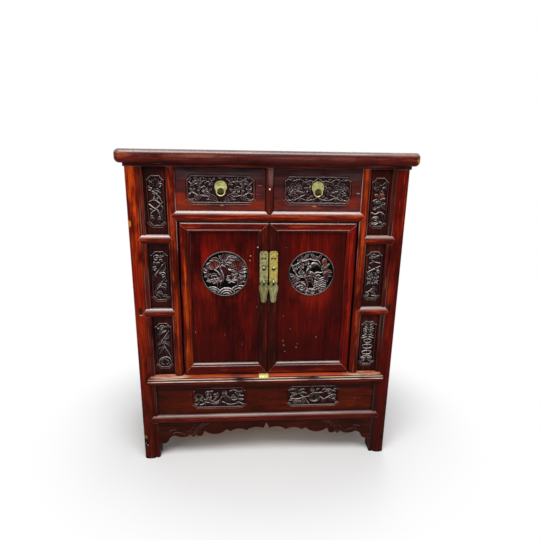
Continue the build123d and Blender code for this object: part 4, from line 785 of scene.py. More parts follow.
class Field:
    """The wood's height above a carved field's ground, on a grid."""

    def __init__(self, wide, high):
        self.shape = (round(wide / GRID_STEP) + 1, round(high / GRID_STEP) + 1)
        self.u, self.v = np.meshgrid(
            np.linspace(-wide / 2, wide / 2, self.shape[0]), np.linspace(-high / 2, high / 2, self.shape[1])
        )
        self.height = np.zeros_like(self.u)
        self.tint = np.zeros_like(self.u)
        self.side = 1  # -1 mirrors what is carved next

    def placed(self, point):
        """The point, or its mirror image."""
        return np.array([self.side * point[0], point[1]])

    def window(self, points, reach):
        """The part of the grid within reach of some points, so that a small motif costs little."""
        low, high = np.min(points, 0) - reach - MARGIN, np.max(points, 0) + reach + MARGIN
        columns = np.nonzero((self.u[0] >= low[0]) & (self.u[0] <= high[0]))[0]
        rows = np.nonzero((self.v[:, 0] >= low[1]) & (self.v[:, 0] <= high[1]))[0]
        return slice(rows[0], rows[-1] + 1), slice(columns[0], columns[-1] + 1)

    def oval(self, centre, radii, turn):
        """The part of the grid round an oval, how far along and across it each point lies from its centre,
        and how far out, as a share of the way to its rim."""
        centre = self.placed(centre)
        where = self.window([centre], max(radii))
        c, s = math.cos(turn * self.side), math.sin(turn * self.side)
        u, v = self.u[where] - centre[0], self.v[where] - centre[1]
        along, across = u * c + v * s, v * c - u * s
        return where, along, across, np.hypot(along / radii[0], across / radii[1])

    def carve(self, where, outside, height, tint=0.0):
        """Leaves height where outside is negative, and grooves what lies just beyond."""
        old = self.height[where]
        near = np.clip(outside / GROOVE, 0, 1)
        grooved = old * (GROOVE_FLOOR + (1 - GROOVE_FLOOR) * near)
        self.height[where] = np.where(outside <= 0, np.maximum(height, THINNEST), grooved)
        self.tint[where] = np.where(outside <= 0, tint, self.tint[where])

    def stem(self, points, wide, high, end=0.4, tint=0.0):
        """A rounded stem, wide at its start and end times that at its end."""
        line = smooth_line([self.placed(point) for point in points])
        where = self.window(line, wide)
        u, v = self.u[where][..., None], self.v[where][..., None]
        a, b = line[:-1], line[1:]
        step = b - a
        along = (u - a[:, 0]) * step[:, 0] + (v - a[:, 1]) * step[:, 1]
        along = np.clip(along / np.maximum((step ** 2).sum(1), 1e-9), 0, 1)
        far = np.hypot(u - a[:, 0] - along * step[:, 0], v - a[:, 1] - along * step[:, 1])
        near = far.argmin(-1)
        far = far.min(-1)
        share = (near + np.take_along_axis(along, near[..., None], -1)[..., 0]) / len(a)
        half = wide * (1 + (end - 1) * share)
        across = np.clip(far / half, 0, 1)
        self.carve(where, far - half, high * (0.35 + 0.65 * np.sqrt(1 - across ** 2)), tint)

    def leaf(self, base, tip, wide, high, bend=0.0, blunt=0.8, cup=0.0, ribs=0, tint=0.0):
        """A leaf or petal from base to tip. cup raises its rim, ribs cuts veins and bend curves it aside."""
        base, tip = self.placed(base), self.placed(tip)
        length = float(np.hypot(*(tip - base)))
        axis = (tip - base) / length
        where = self.window([base, tip], wide + abs(bend) * length)
        u, v = self.u[where] - base[0], self.v[where] - base[1]
        share = np.clip((u * axis[0] + v * axis[1]) / length, -0.2, 1.2)
        inside = np.clip(share, 0.001, 0.999)
        middle = self.side * bend * length * 4 * inside * (1 - inside)
        across = -u * axis[1] + v * axis[0] - middle
        swell = np.sin(np.pi * inside ** blunt) ** 0.75
        half = wide * np.maximum(swell, 0.03)
        past = np.maximum(0, np.maximum(-share, share - 1)) * length
        outside = np.maximum(np.abs(across) - half, past - 0.01)
        outside = np.where(past > 0, np.hypot(np.maximum(np.abs(across) - half, 0), past) + 0.01, outside)
        ratio = np.clip(np.abs(across) / half, 0, 1)
        dome = 0.45 + 0.55 * np.sqrt(1 - 0.92 * ratio ** 2)
        hollow = 0.55 + 0.45 * ratio ** 2
        body = (1 - cup) * dome + cup * hollow
        body *= 0.82 + 0.18 * np.sin(np.pi * inside)
        body -= (0.22 + 0.1 * cup) * np.exp(-((across / 0.55) ** 2)) * (inside < 0.93)
        if ribs:
            body -= 0.13 * (0.5 + 0.5 * np.cos(2 * np.pi * (ribs * inside - 0.8 * ratio))) * (ratio > 0.12)
        self.carve(where, outside, high * body, tint * (1 - 0.5 * ratio))

    def ball(self, centre, radii, high, turn=0.0, scales=0.0, cleft=False, tint=0.0, hollow=0.0):
        """A domed oval: fruit, bud, bird's body. scales cuts rows of small arcs into it."""
        where, along, across, ratio = self.oval(centre, radii, turn)
        body = 0.4 + 0.6 * np.sqrt(np.clip(1 - ratio ** 2, 0, 1))
        body -= hollow * np.clip(1 - ratio / 0.7, 0, 1)
        if scales:
            row = np.floor(across / scales)
            shift = along / scales / 1.3 + 0.5 * (row % 2)
            rise = across / scales - row - 0.75 * np.cos(np.pi * (shift % 1 - 0.5)) ** 2
            body -= 0.16 * (np.abs(rise) < 0.16)
        if cleft:
            body -= 0.25 * np.exp(-(((along - 0.18 * radii[0]) / 0.6) ** 2)) * (across > -0.3 * radii[1])
        self.carve(where, (ratio - 1) * min(radii), high * body, tint)

    def curl(self, centre, radius, turns, start, wide, high, clockwise=False):
        """A volute that winds in to its centre."""
        steps = np.linspace(0, 1, max(6, int(turns * 9)))
        sense = -1 if clockwise else 1
        points = [
            (
                centre[0] + radius * (1 - 0.85 * t) * math.cos(start + sense * 2 * math.pi * turns * t),
                centre[1] + radius * (1 - 0.85 * t) * math.sin(start + sense * 2 * math.pi * turns * t),
            )
            for t in steps
        ]
        self.stem(points, wide, high, end=0.75)

    def blossom(self, centre, radius, petals, high, start=0.0, *, cup, tint=0.0):
        """A flower seen from above: a ring of petals round a small heart."""
        for k in range(petals):
            angle = start + k * 2 * math.pi / petals
            tip = (centre[0] + radius * math.cos(angle), centre[1] + radius * math.sin(angle))
            width = radius * math.sin(math.pi / petals) * 0.86
            self.leaf(centre, tip, width, high, blunt=1.5, cup=cup, tint=tint)
        self.ball(centre, (radius * 0.17, radius * 0.17), high, hollow=0.3)

    def fan(self, heart, reach, spread, petals, high, cup, aim=math.pi / 2, tint=0.0, width=0.24):
        """A flower seen from the side: petals that open upwards, the outer ones behind."""
        order = sorted(range(petals), key=lambda k: -abs(k - (petals - 1) / 2))
        for k in order:
            off = (k - (petals - 1) / 2) / max(1, (petals - 1) / 2)
            angle = aim - off * spread
            length = reach * (1 - 0.12 * abs(off))
            tip = (heart[0] + length * math.cos(angle), heart[1] + length * math.sin(angle))
            rise = high * (1 - 0.18 * abs(off))
            self.leaf(heart, tip, reach * width, rise, bend=0.07 * off, blunt=1.25, cup=cup, tint=tint)

    def waves(self, centre, radii, rings, high, turn=0.0):
        """Nested arcs, as carvers draw water, rock and a folded wing."""
        where, _, _, ratio = self.oval(centre, radii, turn)
        ripple = 0.5 + 0.5 * np.cos(2 * np.pi * rings * (ratio - 0.93))
        body = (0.3 + 0.7 * ripple) * (0.5 + 0.5 * np.clip(ratio, 0, 1) ** 3)
        self.carve(where, (ratio - 1) * min(radii), high * body)


def each(motif, *rows, **style):
    """Carves one kind of motif again and again, far ones first, with a style that all share."""
    for row in rows:
        motif(*row, **style)


print("grids of", GRID_STEP, "mm")

# %% [markdown]
# ## From heights to a mesh
# A grid primitive is stood up in front of the ground and its points are moved out by the heights. What lies
# past the field's outline is deleted, the rim of what is left is extruded back into the wood, and the back
# is closed, so that each carving is a solid. Two values are kept with every point for the finish: how far
# it stands out from its surroundings, which is where hands polish and dirt doesn't stay, and where the
# finish paints its highlights and its shade, and how much colour the carver's paint left.

# %% A carving as a solid piece
SKIRT = 1.6  # how far a carving's edge runs back into the wood
UNDER_RIM = 1.3  # how far it runs under the field's raised rim
GROUND_LIFT = 0.12  # how far its ground lies in front of the sunk one
CARVED_EDGE = 50  # degrees; a sharper bend stays an edge


def blurred(values, reach):
    """The mean of each value's neighbourhood."""
    for axis in (0, 1):
        padded = np.pad(values, [(reach, reach) if a == axis else (0, 0) for a in (0, 1)], "edge")
        total = np.cumsum(padded, axis)
        total = np.insert(total, 0, 0, axis)
        count = values.shape[axis]
        upper = np.take(total, range(2 * reach + 1, 2 * reach + 1 + count), axis)
        values = (upper - np.take(total, range(count), axis)) / (2 * reach + 1)
    return values


def octagon(u, v, wide, high, cut=9.0):
    """How far a point lies outside a field with cut corners."""
    u, v = np.abs(u) - wide / 2, np.abs(v) - high / 2
    return np.maximum(np.maximum(u, v), (u + v + cut) / math.sqrt(2))


def disc(u, v, wide, _):
    """How far a point lies outside a round field."""
    return np.hypot(u, v) - wide / 2


def raise_carving(name, field, centre, ground_y, body, finish, outline, inner):
    """Makes a field's heights a piece, in metres, with its ground at ground_y and facing the front. inner is
    how wide and high the outline is."""
    bpy.ops.object.select_all(action="DESELECT")
    columns, rows = field.shape
    bpy.ops.mesh.primitive_grid_add(x_subdivisions=columns - 1, y_subdivisions=rows - 1, size=1)
    piece = bpy.context.object
    piece.name = piece.data.name = name
    u, v = field.u.ravel(), field.v.ravel()
    height = field.height.ravel()
    outside = outline(u, v, *inner)
    relief = np.clip(field.height - blurred(field.height, 3), -2, 2).ravel()
    fronts = ground_y - (height + GROUND_LIFT) / 1000
    places = np.column_stack((centre[0] + u / 1000, fronts, centre[1] + v / 1000))
    piece.data.vertices.foreach_set("co", places.astype(np.float32).ravel())
    for key, values in (("stands_out", relief), ("height", height), ("colour_left", field.tint.ravel())):
        attribute = piece.data.attributes.new(key, "FLOAT", "POINT")
        attribute.data.foreach_set("value", values.astype(np.float32))

    bpy.ops.object.mode_set(mode="EDIT")
    bpy.ops.mesh.select_all(action="DESELECT")
    bpy.ops.object.mode_set(mode="OBJECT")
    piece.data.vertices.foreach_set("select", outside > UNDER_RIM)
    bpy.ops.object.mode_set(mode="EDIT")
    bpy.ops.mesh.select_mode(type="VERT")
    bpy.ops.mesh.delete(type="VERT")
    bpy.ops.mesh.select_all(action="SELECT")
    bpy.ops.mesh.region_to_loop()
    bpy.ops.mesh.extrude_region_move(TRANSFORM_OT_translate={"value": (0, SKIRT / 1000, 0)})
    bpy.ops.mesh.edge_face_add()
    bpy.ops.mesh.select_all(action="SELECT")
    bpy.ops.mesh.quads_convert_to_tris()
    bpy.ops.mesh.normals_make_consistent(inside=False)
    bpy.ops.object.mode_set(mode="OBJECT")
    bpy.ops.object.shade_smooth_by_angle(angle=math.radians(CARVED_EDGE))
    piece.data.materials.append(finish)
    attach(piece, body)
    print(name, len(piece.data.polygons), "faces, up to", round(float(height.max()), 1), "mm high")


# %% [markdown]
# ## The carvings' finish
# The carved wood is painted nearly black in its hollows and on what faces down, as shade, purple-brown on
# its faces, and a pale, slightly pink grey along its edges and on what faces up, part rubbing and part
# painted highlight. The height and stands_out values kept with the points drive all three, and where the
# carver's colour is left, the petals show a dull orange red.

# %% Finish for carvings
def carved_lacquer(name, ground, face, rubbed, colour_left, deep, rub_and_highlight=0.8, gloss=0.24, marks=()):
    """Lacquer on carving. deep is the relief's full height in millimetres, and rub how pale its edges get,
    rubbed and painted as a highlight where they face up.
    """
    wire, material, shader = new_finish(name)
    place = wire.node("TexCoord", output="Object")
    up = wire.node("TexCoord", output="Normal").part("Z")
    height = wire.node("Attribute", {"attribute_name": "height"}, output="Fac")
    stands_out = wire.node("Attribute", {"attribute_name": "stands_out"}, output="Fac")
    left = wire.node("Attribute", {"attribute_name": "colour_left"}, output="Fac")
    blotches = place.noise(70.0, 4.0, 0.6)
    fine = place.noise(700.0, 3.0, 0.6)
    corner = nearby(wire, CORNER["carving"]).between(0.9, 0.5)
    carved = height.between(0.08 * deep, 0.4 * deep)
    colour = carved.mix(ground, face)
    colour = (left * (0.45 + 0.55 * blotches.between(0.35, 0.6))).mix(colour, colour_left)
    # Painted shade: darker where the carving faces down and in the hollows between its motifs.
    colour = (up.between(-0.08, -0.5) * 0.85).mix(colour, SOOT_AND_SHADE)
    colour = (stands_out.between(-0.05, -0.4) * 0.95).mix(colour, SOOT_AND_SHADE)
    # Painted highlight with some rubbing: pale on edges that stand out and on what faces up.
    edge = stands_out.between(0.15, 1.0) * (0.12 + 0.88 * up.between(0.0, 0.45))
    edge = edge.most(up.between(0.25, 0.62)) * carved
    patchiness = 0.25 + 0.75 * blotches.between(0.34, 0.6)
    colour = (edge * patchiness * rub_and_highlight * (1 - 0.5 * left)).mix(colour, rubbed)
    # Painted shade and dirt in the carving's tight corners.
    colour = (corner * 0.9).mix(colour, SOOT_AND_SHADE)
    for centre, reach, tone, strength in marks:
        colour = (round_mark(place, centre, reach) * strength).mix(colour, tone)
    feed(shader, "Base Color", colour)
    feed(shader, "Roughness", gloss + 0.12 * fine + 0.3 * corner)
    feed(shader, "Coat Weight", carved * (1 - corner) * 0.9 * up.between(0.02, 0.4))
    shader.inputs["Coat Roughness"].default_value = 0.2
    shader.inputs["Coat IOR"].default_value = COAT_IOR["carving"]
    shader.inputs["Specular IOR Level"].default_value = SHEEN
    feed(shader, "Normal", bump(wire, 0.2, 0.0005, fine + 2 * blotches))
    return material


# The pale of carved edges: rubbing, and a highlight painted where they face up.
RUBBED_HIGHLIGHT, OLD_PAINT = paint(212, 196, 190), paint(130, 42, 22)
PANEL_DEEP, MEDALLION_DEEP = 3.2, 6.0
side_carving = carved_lacquer(
    "carving_side", paint(44, 16, 14), paint(34, 13, 13), RUBBED_HIGHLIGHT, OLD_PAINT, PANEL_DEEP,
)
drawer_carving = carved_lacquer(
    "carving_drawer", paint(42, 20, 22), paint(44, 20, 22), RUBBED_HIGHLIGHT, OLD_PAINT, PANEL_DEEP,
    marks=RING_PLACES,
)
base_carving = carved_lacquer(
    "carving_base", paint(44, 12, 6), paint(44, 16, 11), RUBBED_HIGHLIGHT, OLD_PAINT, PANEL_DEEP,
)
# The medallions' carved ground is painted nearly black as openwork shade, and their edges near white as
# highlights.
medallion_carving = carved_lacquer(
    "carving_medallion", paint(2, 1, 1), paint(58, 18, 18), paint(250, 240, 235), paint(146, 42, 20),
    MEDALLION_DEEP, rub_and_highlight=0.66, gloss=0.2,
)
print("four finishes for the carvings")

# %% [markdown]
# ## The door medallions
# The two round fields are cut deepest, almost through, and their ground is painted black as the shade that
# openwork would show, so that their birds and flowers stand against black.
# On the left a heron stands among lotus over waves; on the right a bird turns its head among blossom, with
# leaves around it and scrolled rocks below. Far things are carved first and near things last, each over the
# one behind it.

# %% Left medallion
heron = Field(138, 138)
each(
    heron.waves,
    ((44, -68), (34, 33), 4, 4.8), ((-38, -66), (27, 27), 4, 4.6), ((4, -74), (30, 32), 4, 5.6),
)
heron.stem([(36, 6), (34, -10), (38, -28), (36, -40)], 2.6, 4.6, end=1)
heron.ball((50, -17), (12, 10), 4.4, hollow=0.3)
heron.curl((50, -17), 9, 1.1, 1.2, 2.4, 5.0, clockwise=True)
heron.leaf((40, -30), (60, -24), 5.5, 4.4, bend=0.15, cup=0.5)
heron.ball((-47, 22), (12, 11), 4.2, hollow=0.2)
heron.curl((-46, 23), 10, 1.1, 0.6, 2.6, 5.0)
heron.ball((-57, 8), (9, 9), 4.0, hollow=0.2)
heron.curl((-57, 9), 8, 1.1, 2.0, 2.3, 4.8)
each(
    heron.leaf,
    ((-48, 2), (-62, -10), 5, 4.6), ((-47, 2), (-46, -14), 5, 4.6), ((-14, 34), (-46, 40), 7.0, 5.0, -0.2),
    cup=0.6,
)
heron.leaf((-16, 36), (-15, 21), 5.5, 4.8, bend=0.2, cup=0.4)
heron.fan((-31, 12), 28, 0.85, 6, 5.6, aim=1.75, cup=0.9, tint=0.9, width=0.2)
heron.stem([(-30, 13), (-20, 4), (-12, -8), (-8, -20)], 2.5, 5.0, end=1)
each(
    heron.leaf,
    ((-4, 40), (-18, 57), 5.0, 4.8), ((-3, 40), (12, 56), 5.0, 4.8),
    cup=0.8,
)
heron.leaf((-4, 38), (-4, 60), 6.0, 5.2, cup=0.8, ribs=4)
heron.leaf((10, 54), (38, 50), 6.5, 4.8, bend=0.14, cup=0.8)
heron.leaf((14, 47), (36, 45), 4.5, 5.2, bend=-0.1, cup=0.6)
heron.leaf((-3, 46), (-2, 18), 7.5, 5.6, ribs=5, cup=0.2)
heron.leaf((0, 31), (20, 22), 5.0, 5.4, bend=0.1, cup=0.5)
heron.leaf((4, 37), (24, 38), 4.6, 5.0, bend=-0.12, cup=0.6)
heron.fan((38, 5), 40, 0.78, 6, 5.2, cup=0.9, width=0.2)
heron.fan((38, 5), 34, 0.74, 6, 5.9, cup=0.9, tint=1.0, width=0.19)
heron.fan((38, 5), 21, 0.42, 3, 6.3, cup=0.9, tint=1.0, width=0.24)
each(
    heron.leaf,
    ((37, 5), (8, 15), 6.4, 5.8, -0.14), ((38, 4), (65, 18), 6.0, 5.6, 0.14),
    cup=0.8, blunt=0.95,
)
heron.leaf((40, 3), (66, 7), 4.6, 5.8, bend=0.1, cup=0.7, blunt=0.95)
heron.leaf((40, 3), (64, -5), 6.4, 6.0, bend=-0.12, cup=0.8, blunt=0.95)
heron.leaf((38, 4), (18, 0), 5.0, 5.8, bend=0.1, cup=0.6)
each(
    heron.leaf,
    ((18, -20), (8, -29), 5, 5.0, -0.15), ((18, -20), (31, -28), 5, 5.0, 0.15),
    ((18, -17), (1, -18), 5.5, 5.4, -0.12), ((18, -17), (36, -18), 5.5, 5.4, 0.12),
    ((18, -17), (5, -6), 6, 5.8, -0.1), ((18, -17), (32, -6), 6, 5.8, 0.1), ((18, -18), (18, -3), 6, 6.0),
    cup=0.8,
)
each(
    heron.stem,
    ([(-25, -20), (-22, -30), (-23, -42)], 1.5, 5.0, 0.8),
    ([(-18, -20), (-13, -30), (-15, -44)], 1.5, 5.0, 0.8),
)
heron.ball((-40, -16), (14, 8), 4.8, turn=0.25)
heron.waves((-32, -11), (20, 13), 2, 5.4, turn=0.1)
heron.leaf((-14, -13), (-56, -22), 6.5, 5.8, bend=0.1, ribs=5, cup=0.3)
heron.leaf((-12, -18), (-40, -28), 4.5, 5.4, bend=0.12, ribs=4, cup=0.3)
NECK = [(-12, -24), (-6, -18), (-5, -10), (-9, 4), (-13, 14), (-12, 22), (-6, 26)]
heron.stem(NECK, 3.6, 6.0, end=0.7, tint=0.12)
heron.ball((-6, 25), (5.5, 4), 6.2, turn=-0.4)
heron.stem([(-4, 25), (2, 21), (5, 14)], 1.6, 5.8, end=0.3)
print("heron and lotus", heron.shape)

# %% Right medallion
songbird = Field(138, 138)
for k in range(5):
    low = -45 + 7 * k
    ripple = [(11, low), (19, low + 5), (27, low), (36, low + 5), (45, low + 1)]
    songbird.stem(ripple, 3.0 - 0.2 * k, 4.4, end=0.7)
songbird.ball((30, -52), (16, 8), 4.2)
songbird.curl((30, -51), 8, 1.2, 2.0, 2.2, 5.0)
songbird.ball((-26, -50), (20, 12), 4.4, turn=-0.3)
songbird.curl((-28, -42), 13, 1.5, 1.5, 2.8, 5.4, clockwise=True)
songbird.ball((2, -57), (20, 11), 4.6)
each(
    songbird.curl,
    ((6, -54), 10, 1.4, 2.5, 2.5, 5.6), ((-12, -60), 7, 1.1, 0.5, 2.2, 5.2),
)
songbird.ball((-52, -32), (11, 9), 4.2, turn=-0.6, scales=3.0)
songbird.leaf((-60, -30), (-32, -16), 7.5, 5.0, bend=0.1, ribs=6, cup=0.4)
songbird.leaf((-58, -38), (-36, -27), 5.5, 4.8, bend=0.1, ribs=5, cup=0.4)
each(
    songbird.leaf,
    ((-40, -10), (-66, 2), 4.6, 4.8, 0.12), ((-40, -12), (-66, -9), 4.2, 4.8, -0.1),
    cup=0.5,
)
each(
    songbird.stem,
    ([(-60, 28), (-52, 10), (-40, -8), (-24, -11)], 2.4, 5.0, 0.7),
    ([(-60, 22), (-46, 28), (-32, 38), (-24, 46)], 2.0, 5.0, 0.6),
    ([(-32, 38), (-20, 40), (-6, 44), (8, 41), (19, 40), (26, 29), (31, 16), (36, 6)], 2.2, 5.2, 0.9),
)
each(
    songbird.leaf,
    ((-24, 45), (-9, 64), 4.6, 5.0, -0.08), ((-24, 45), (-32, 58), 3.6, 4.6, 0.1),
    ((16, 46), (-4, 63), 5.2, 5.0, 0.1), ((20, 43), (27, 61), 4.4, 5.0, -0.1),
    ((22, 42), (12, 54), 3.6, 4.6),
    cup=0.4,
)
songbird.ball((39, 37), (8, 11), 5.0, turn=-0.2)
songbird.leaf((38, 27), (41, 46), 6.5, 5.8, cup=0.3, tint=1.0)
songbird.stem([(31, 20), (36, 26), (39, 30)], 1.6, 4.8)
songbird.leaf((35, 6), (56, 32), 5.2, 5.2, bend=0.08, cup=0.4)
songbird.leaf((36, 5), (66, 2), 5.6, 5.6, bend=0.1, cup=0.5, tint=0.5)
songbird.leaf((37, 3), (64, -8), 4.4, 5.4, bend=-0.1, cup=0.5)
songbird.leaf((36, 4), (50, -26), 5.4, 5.2, bend=0.1, cup=0.4)
songbird.stem([(8, -2), (18, 4), (28, 3), (37, 6)], 2.0, 5.4)
songbird.leaf((27, 18), (18, 32), 4.4, 5.0, bend=-0.15, cup=0.5)
songbird.leaf((32, 14), (44, 22), 4.2, 5.0, bend=0.1, cup=0.4)
each(
    songbird.stem,
    ([(-50, 27), (-40, 22), (-31, 12), (-30, 2)], 1.8, 4.2, 0.8),
    ([(-44, 24), (-49, 16), (-53, 8)], 1.6, 4.2), ([(-8, 43), (-14, 33), (-24, 28)], 1.6, 4.2),
)
each(
    songbird.blossom,
    ((-37, 42), 7.5, 5, 4.8, 0.5), ((-49, 16), 8, 5, 4.8, 0.1),
    cup=0.8,
)
songbird.blossom((-31, 24), 10, 5, 5.2, start=0.9, cup=0.8, tint=0.2)
songbird.blossom((-30, 2), 9.5, 5, 5.4, start=0.3, cup=0.8)
songbird.blossom((-14, 33), 7.5, 5, 5.0, start=1.2, cup=0.8, tint=0.2)
each(
    songbird.leaf,
    ((12, -8), (31, -9), 4.0, 5.2, 0.12), ((10, -12), (25, -19), 4.0, 5.0, -0.1),
    ribs=4,
)
songbird.stem([(-14, -16), (-12, -26), (-10, -36), (-10, -44)], 2.4, 5.2, end=0.8, tint=0.2)
each(
    songbird.stem,
    ([(4, -18), (4, -30), (8, -38)], 2.2, 5.2, 0.8), ([(-10, -43), (-16, -46)], 1.6, 4.8),
    ([(8, -38), (15, -40)], 1.6, 4.8),
)
songbird.ball((-5, -8), (18, 11), 6.0, turn=0.12, scales=3.4)
songbird.leaf((-14, 1), (14, -7), 6.0, 6.2, bend=0.12, ribs=5, cup=0.2)
songbird.stem([(-12, -3), (-12, 8), (-5, 18), (4, 24)], 4.2, 5.8, end=0.9)
songbird.ball((7, 28), (9, 7.5), 6.2, turn=0.3)
songbird.leaf((0, 26), (-13, 20), 2.2, 5.8, bend=0.08)
songbird.leaf((10, 32), (22, 26), 3.4, 5.6, bend=0.2, cup=0.5)
songbird.ball((6, 29), (1.8, 1.8), 6.6, hollow=0.6)
print("bird in blossom", songbird.shape)

# %% [markdown]
# ## The drawer carvings
# Each drawer has one wide field round its pull. The left one has small plum blossom on branches, over long
# leaves that meet in a V under the pull; the right one has two round peonies, with leafy branches that rise
# over the pull like a roof. The two halves nearly mirror each other, so each motif is carved on one side
# and then on the other, and a few are carved on one side only, as a hand would vary them.

# %% Left drawer
plum = Field(186, 73)
for plum.side in (1, -1):
    each(
        plum.stem,
        ([(90, -14), (78, -10), (66, -16), (50, -18), (30, -22), (10, -34)], 2.4, 2.4, 0.7),
        ([(88, 20), (76, 12), (66, 16), (56, 4), (46, 8), (36, -6), (28, -14)], 1.7, 2.4, 0.8),
        ([(80, -12), (84, 0), (76, 10)], 1.5, 2.2, 0.8), ([(60, -16), (58, -6), (62, 4)], 1.5, 2.2, 0.8),
        ([(50, 34), (42, 24), (30, 20), (22, 26)], 1.7, 2.4, 0.7),
        ([(72, 34), (64, 26), (52, 22), (42, 24)], 1.7, 2.4, 0.7),
    )
    for base, tip, wide in (
        ((84, 22), (88, 32), 3.6), ((80, 16), (68, 26), 3.8), ((74, 12), (86, 8), 3.4),
        ((66, 15), (74, 26), 3.2), ((64, 26), (76, 32), 3.4), ((60, 24), (54, 33), 3.6),
        ((50, 22), (58, 12), 3.6), ((44, 24), (40, 33), 3.4), ((38, 22), (46, 12), 3.4),
        ((30, 20), (32, 32), 3.6), ((28, 20), (20, 12), 3.6), ((24, 26), (16, 32), 3.2),
        ((36, -4), (24, 2), 3.8), ((36, -6), (46, -12), 3.2), ((84, -12), (90, -22), 3.2),
        ((56, 4), (60, -4), 3.2),
    ):
        plum.leaf(base, tip, wide, 2.6, bend=0.1, cup=0.3)
    plum.leaf((8, -33), (50, -14), 5.0, 3.0, bend=0.14, ribs=6, cup=0.4)
    each(
        plum.leaf,
        ((10, -32), (42, -28), 4.0, 2.6, 0.08), ((52, -18), (86, -28), 5.2, 2.8, -0.12),
        ribs=5, cup=0.4,
    )
    each(
        plum.leaf,
        ((46, -17), (30, -8), 4.0, 2.8, -0.15), ((62, -15), (74, -24), 4.0, 3.0, 0.1),
        cup=0.4,
    )
    each(
        plum.blossom,
        ((79, 1), 9.0, 5, 2.9, 0.4), ((44, -2), 9.5, 5, 2.9, 1.0), ((62, 16), 7.0, 5, 2.8, 0.2),
        cup=0.8,
    )
    each(
        plum.ball,
        ((62, -6), (4.2, 4.8), 2.8), ((30, 12), (3.6, 4.2), 2.7),
        cleft=True,
    )
plum.leaf((-86, 26), (-70, 32), 3.5, 2.4, bend=0.1)
plum.stem([(-8, 33), (0, 30), (10, 33)], 1.8, 2.0)
print("plum blossom", plum.shape)

# %% Right drawer
peony = Field(186, 73)
for peony.side in (1, -1):
    each(
        peony.stem,
        ([(0, 33), (12, 22), (24, 6), (36, -12), (52, -20)], 2.4, 2.6, 0.8),
        ([(90, -26), (70, -30), (52, -22), (34, -28), (12, -26), (0, -20)], 1.9, 2.4, 0.8),
        ([(86, 30), (70, 26), (52, 30), (36, 22), (22, 26), (12, 22)], 1.8, 2.4, 0.8),
    )
    for base, tip, wide, bend in (
        ((14, 20), (4, 12), 3.0, 0.1), ((18, 14), (32, 18), 4.2, 0.1), ((24, 5), (20, -6), 3.8, 0.1),
        ((27, 0), (40, 6), 4.4, 0.12), ((32, -6), (26, -16), 3.8, 0.1), ((36, -12), (44, -4), 4.0, 0.1),
        ((30, 24), (38, 33), 4.0, 0.1), ((38, 23), (46, 14), 4.4, -0.1), ((48, 28), (52, 34), 3.6, 0.1),
        ((56, 30), (64, 22), 3.8, 0.1), ((70, 26), (80, 33), 3.8, 0.1), ((84, 30), (89, 22), 3.2, 0.1),
        ((16, -27), (6, -33), 3.6, 0.1), ((22, -27), (30, -20), 3.8, 0.1), ((36, -27), (26, -33), 3.8, 0.1),
        ((46, -25), (58, -33), 4.2, 0.1), ((66, -29), (78, -33), 4.0, 0.1), ((84, -28), (90, -18), 3.4, 0.1),
        ((12, -18), (24, -21), 3.4, 0.1),
    ):
        peony.leaf(base, tip, wide, 2.7, bend=bend, ribs=3, cup=0.35)
    each(
        peony.blossom,
        ((64, 0), 23, 8, 2.8, 0.2), ((64, 0), 17, 7, 3.1, 0.6), ((64, 0), 11, 6, 3.2, 0.1),
        cup=0.85,
    )
    peony.ball((64, 0), (3.6, 3.6), 3.2, hollow=0.4)
    peony.leaf((84, 8), (89, -6), 3.6, 2.8, cup=0.4)
print("peonies", peony.shape)

# %% [markdown]
# ## The base carvings
# The two low fields are looser: a scrolling stem with a fan-shaped flower, a fruit and a ring of petals on
# the left, and on the right a spray of grass, a bowl-shaped flower and scrolls beside a rock.

# %% Left base field
fans = Field(165, 68)
each(
    fans.stem,
    ([(-80, -22), (-60, -26), (-40, -18), (-14, -24), (8, -16), (30, -26), (60, -22), (80, -26)], 2.2, 2.4),
    ([(-66, -26), (-67, -12), (-66, 2)], 2.2, 2.6, 0.8),
)
each(
    fans.leaf,
    ((-66, -6), (-80, -14), 4.5, 2.6, 0.15), ((-66, -10), (-52, -18), 4.5, 2.6, 0.12),
    ribs=3,
)
fans.fan((-67, -4), 19, 1.15, 7, 3.0, cup=0.85, width=0.26)
fans.stem([(-46, -28), (-44, -14), (-34, 2), (-36, 16)], 2.2, 2.8, end=0.8)
fans.curl((-38, 14), 10, 1.3, -0.6, 2.4, 3.0)
fans.blossom((-34, 1), 10, 6, 3.0, start=0.3, cup=0.8)
fans.leaf((-42, -14), (-50, -4), 4.0, 2.8, bend=0.1, ribs=3)
fans.leaf((-36, -8), (-24, -16), 4.6, 2.8, bend=-0.12, ribs=4)
fans.leaf((-30, 14), (-20, 24), 4.6, 2.8, bend=0.12, ribs=3)
fans.curl((-12, 8), 9, 1.4, 1.0, 2.3, 3.0, clockwise=True)
fans.ball((-12, 8), (4.0, 4.0), 3.2, hollow=0.3)
fans.leaf((-10, -2), (-22, -14), 4.4, 2.8, bend=0.12, ribs=3)
fans.stem([(-26, -12), (-12, -18), (0, -10), (12, -4)], 2.0, 2.8, end=0.8)
fans.leaf((2, -8), (-2, -22), 4.0, 2.8, bend=0.1, ribs=3)
fans.blossom((16, 16), 9, 5, 3.0, start=0.9, cup=0.8)
each(
    fans.leaf,
    ((12, 6), (22, -24), 6.0, 3.0, 0.12), ((18, 6), (34, -22), 6.0, 3.0, 0.12),
    ribs=6,
)
fans.leaf((10, 4), (6, -18), 4.6, 2.8, bend=-0.1, ribs=4)
fans.curl((45, 0), 17, 1.0, 1.2, 2.6, 3.0, clockwise=True)
fans.blossom((45, 0), 9, 6, 3.0, cup=0.8)
fans.stem([(34, 22), (46, 26), (58, 20), (66, 8)], 2.2, 2.8, end=0.8)
each(
    fans.leaf,
    ((60, 18), (76, 22), 4.6, 2.8, -0.1), ((62, 4), (78, 6), 4.6, 3.0, -0.15),
    ((60, -8), (78, -8), 5.0, 3.0, -0.15), ((56, -18), (74, -24), 5.0, 2.8, -0.12),
    ribs=3,
)
print("left base field", fans.shape)

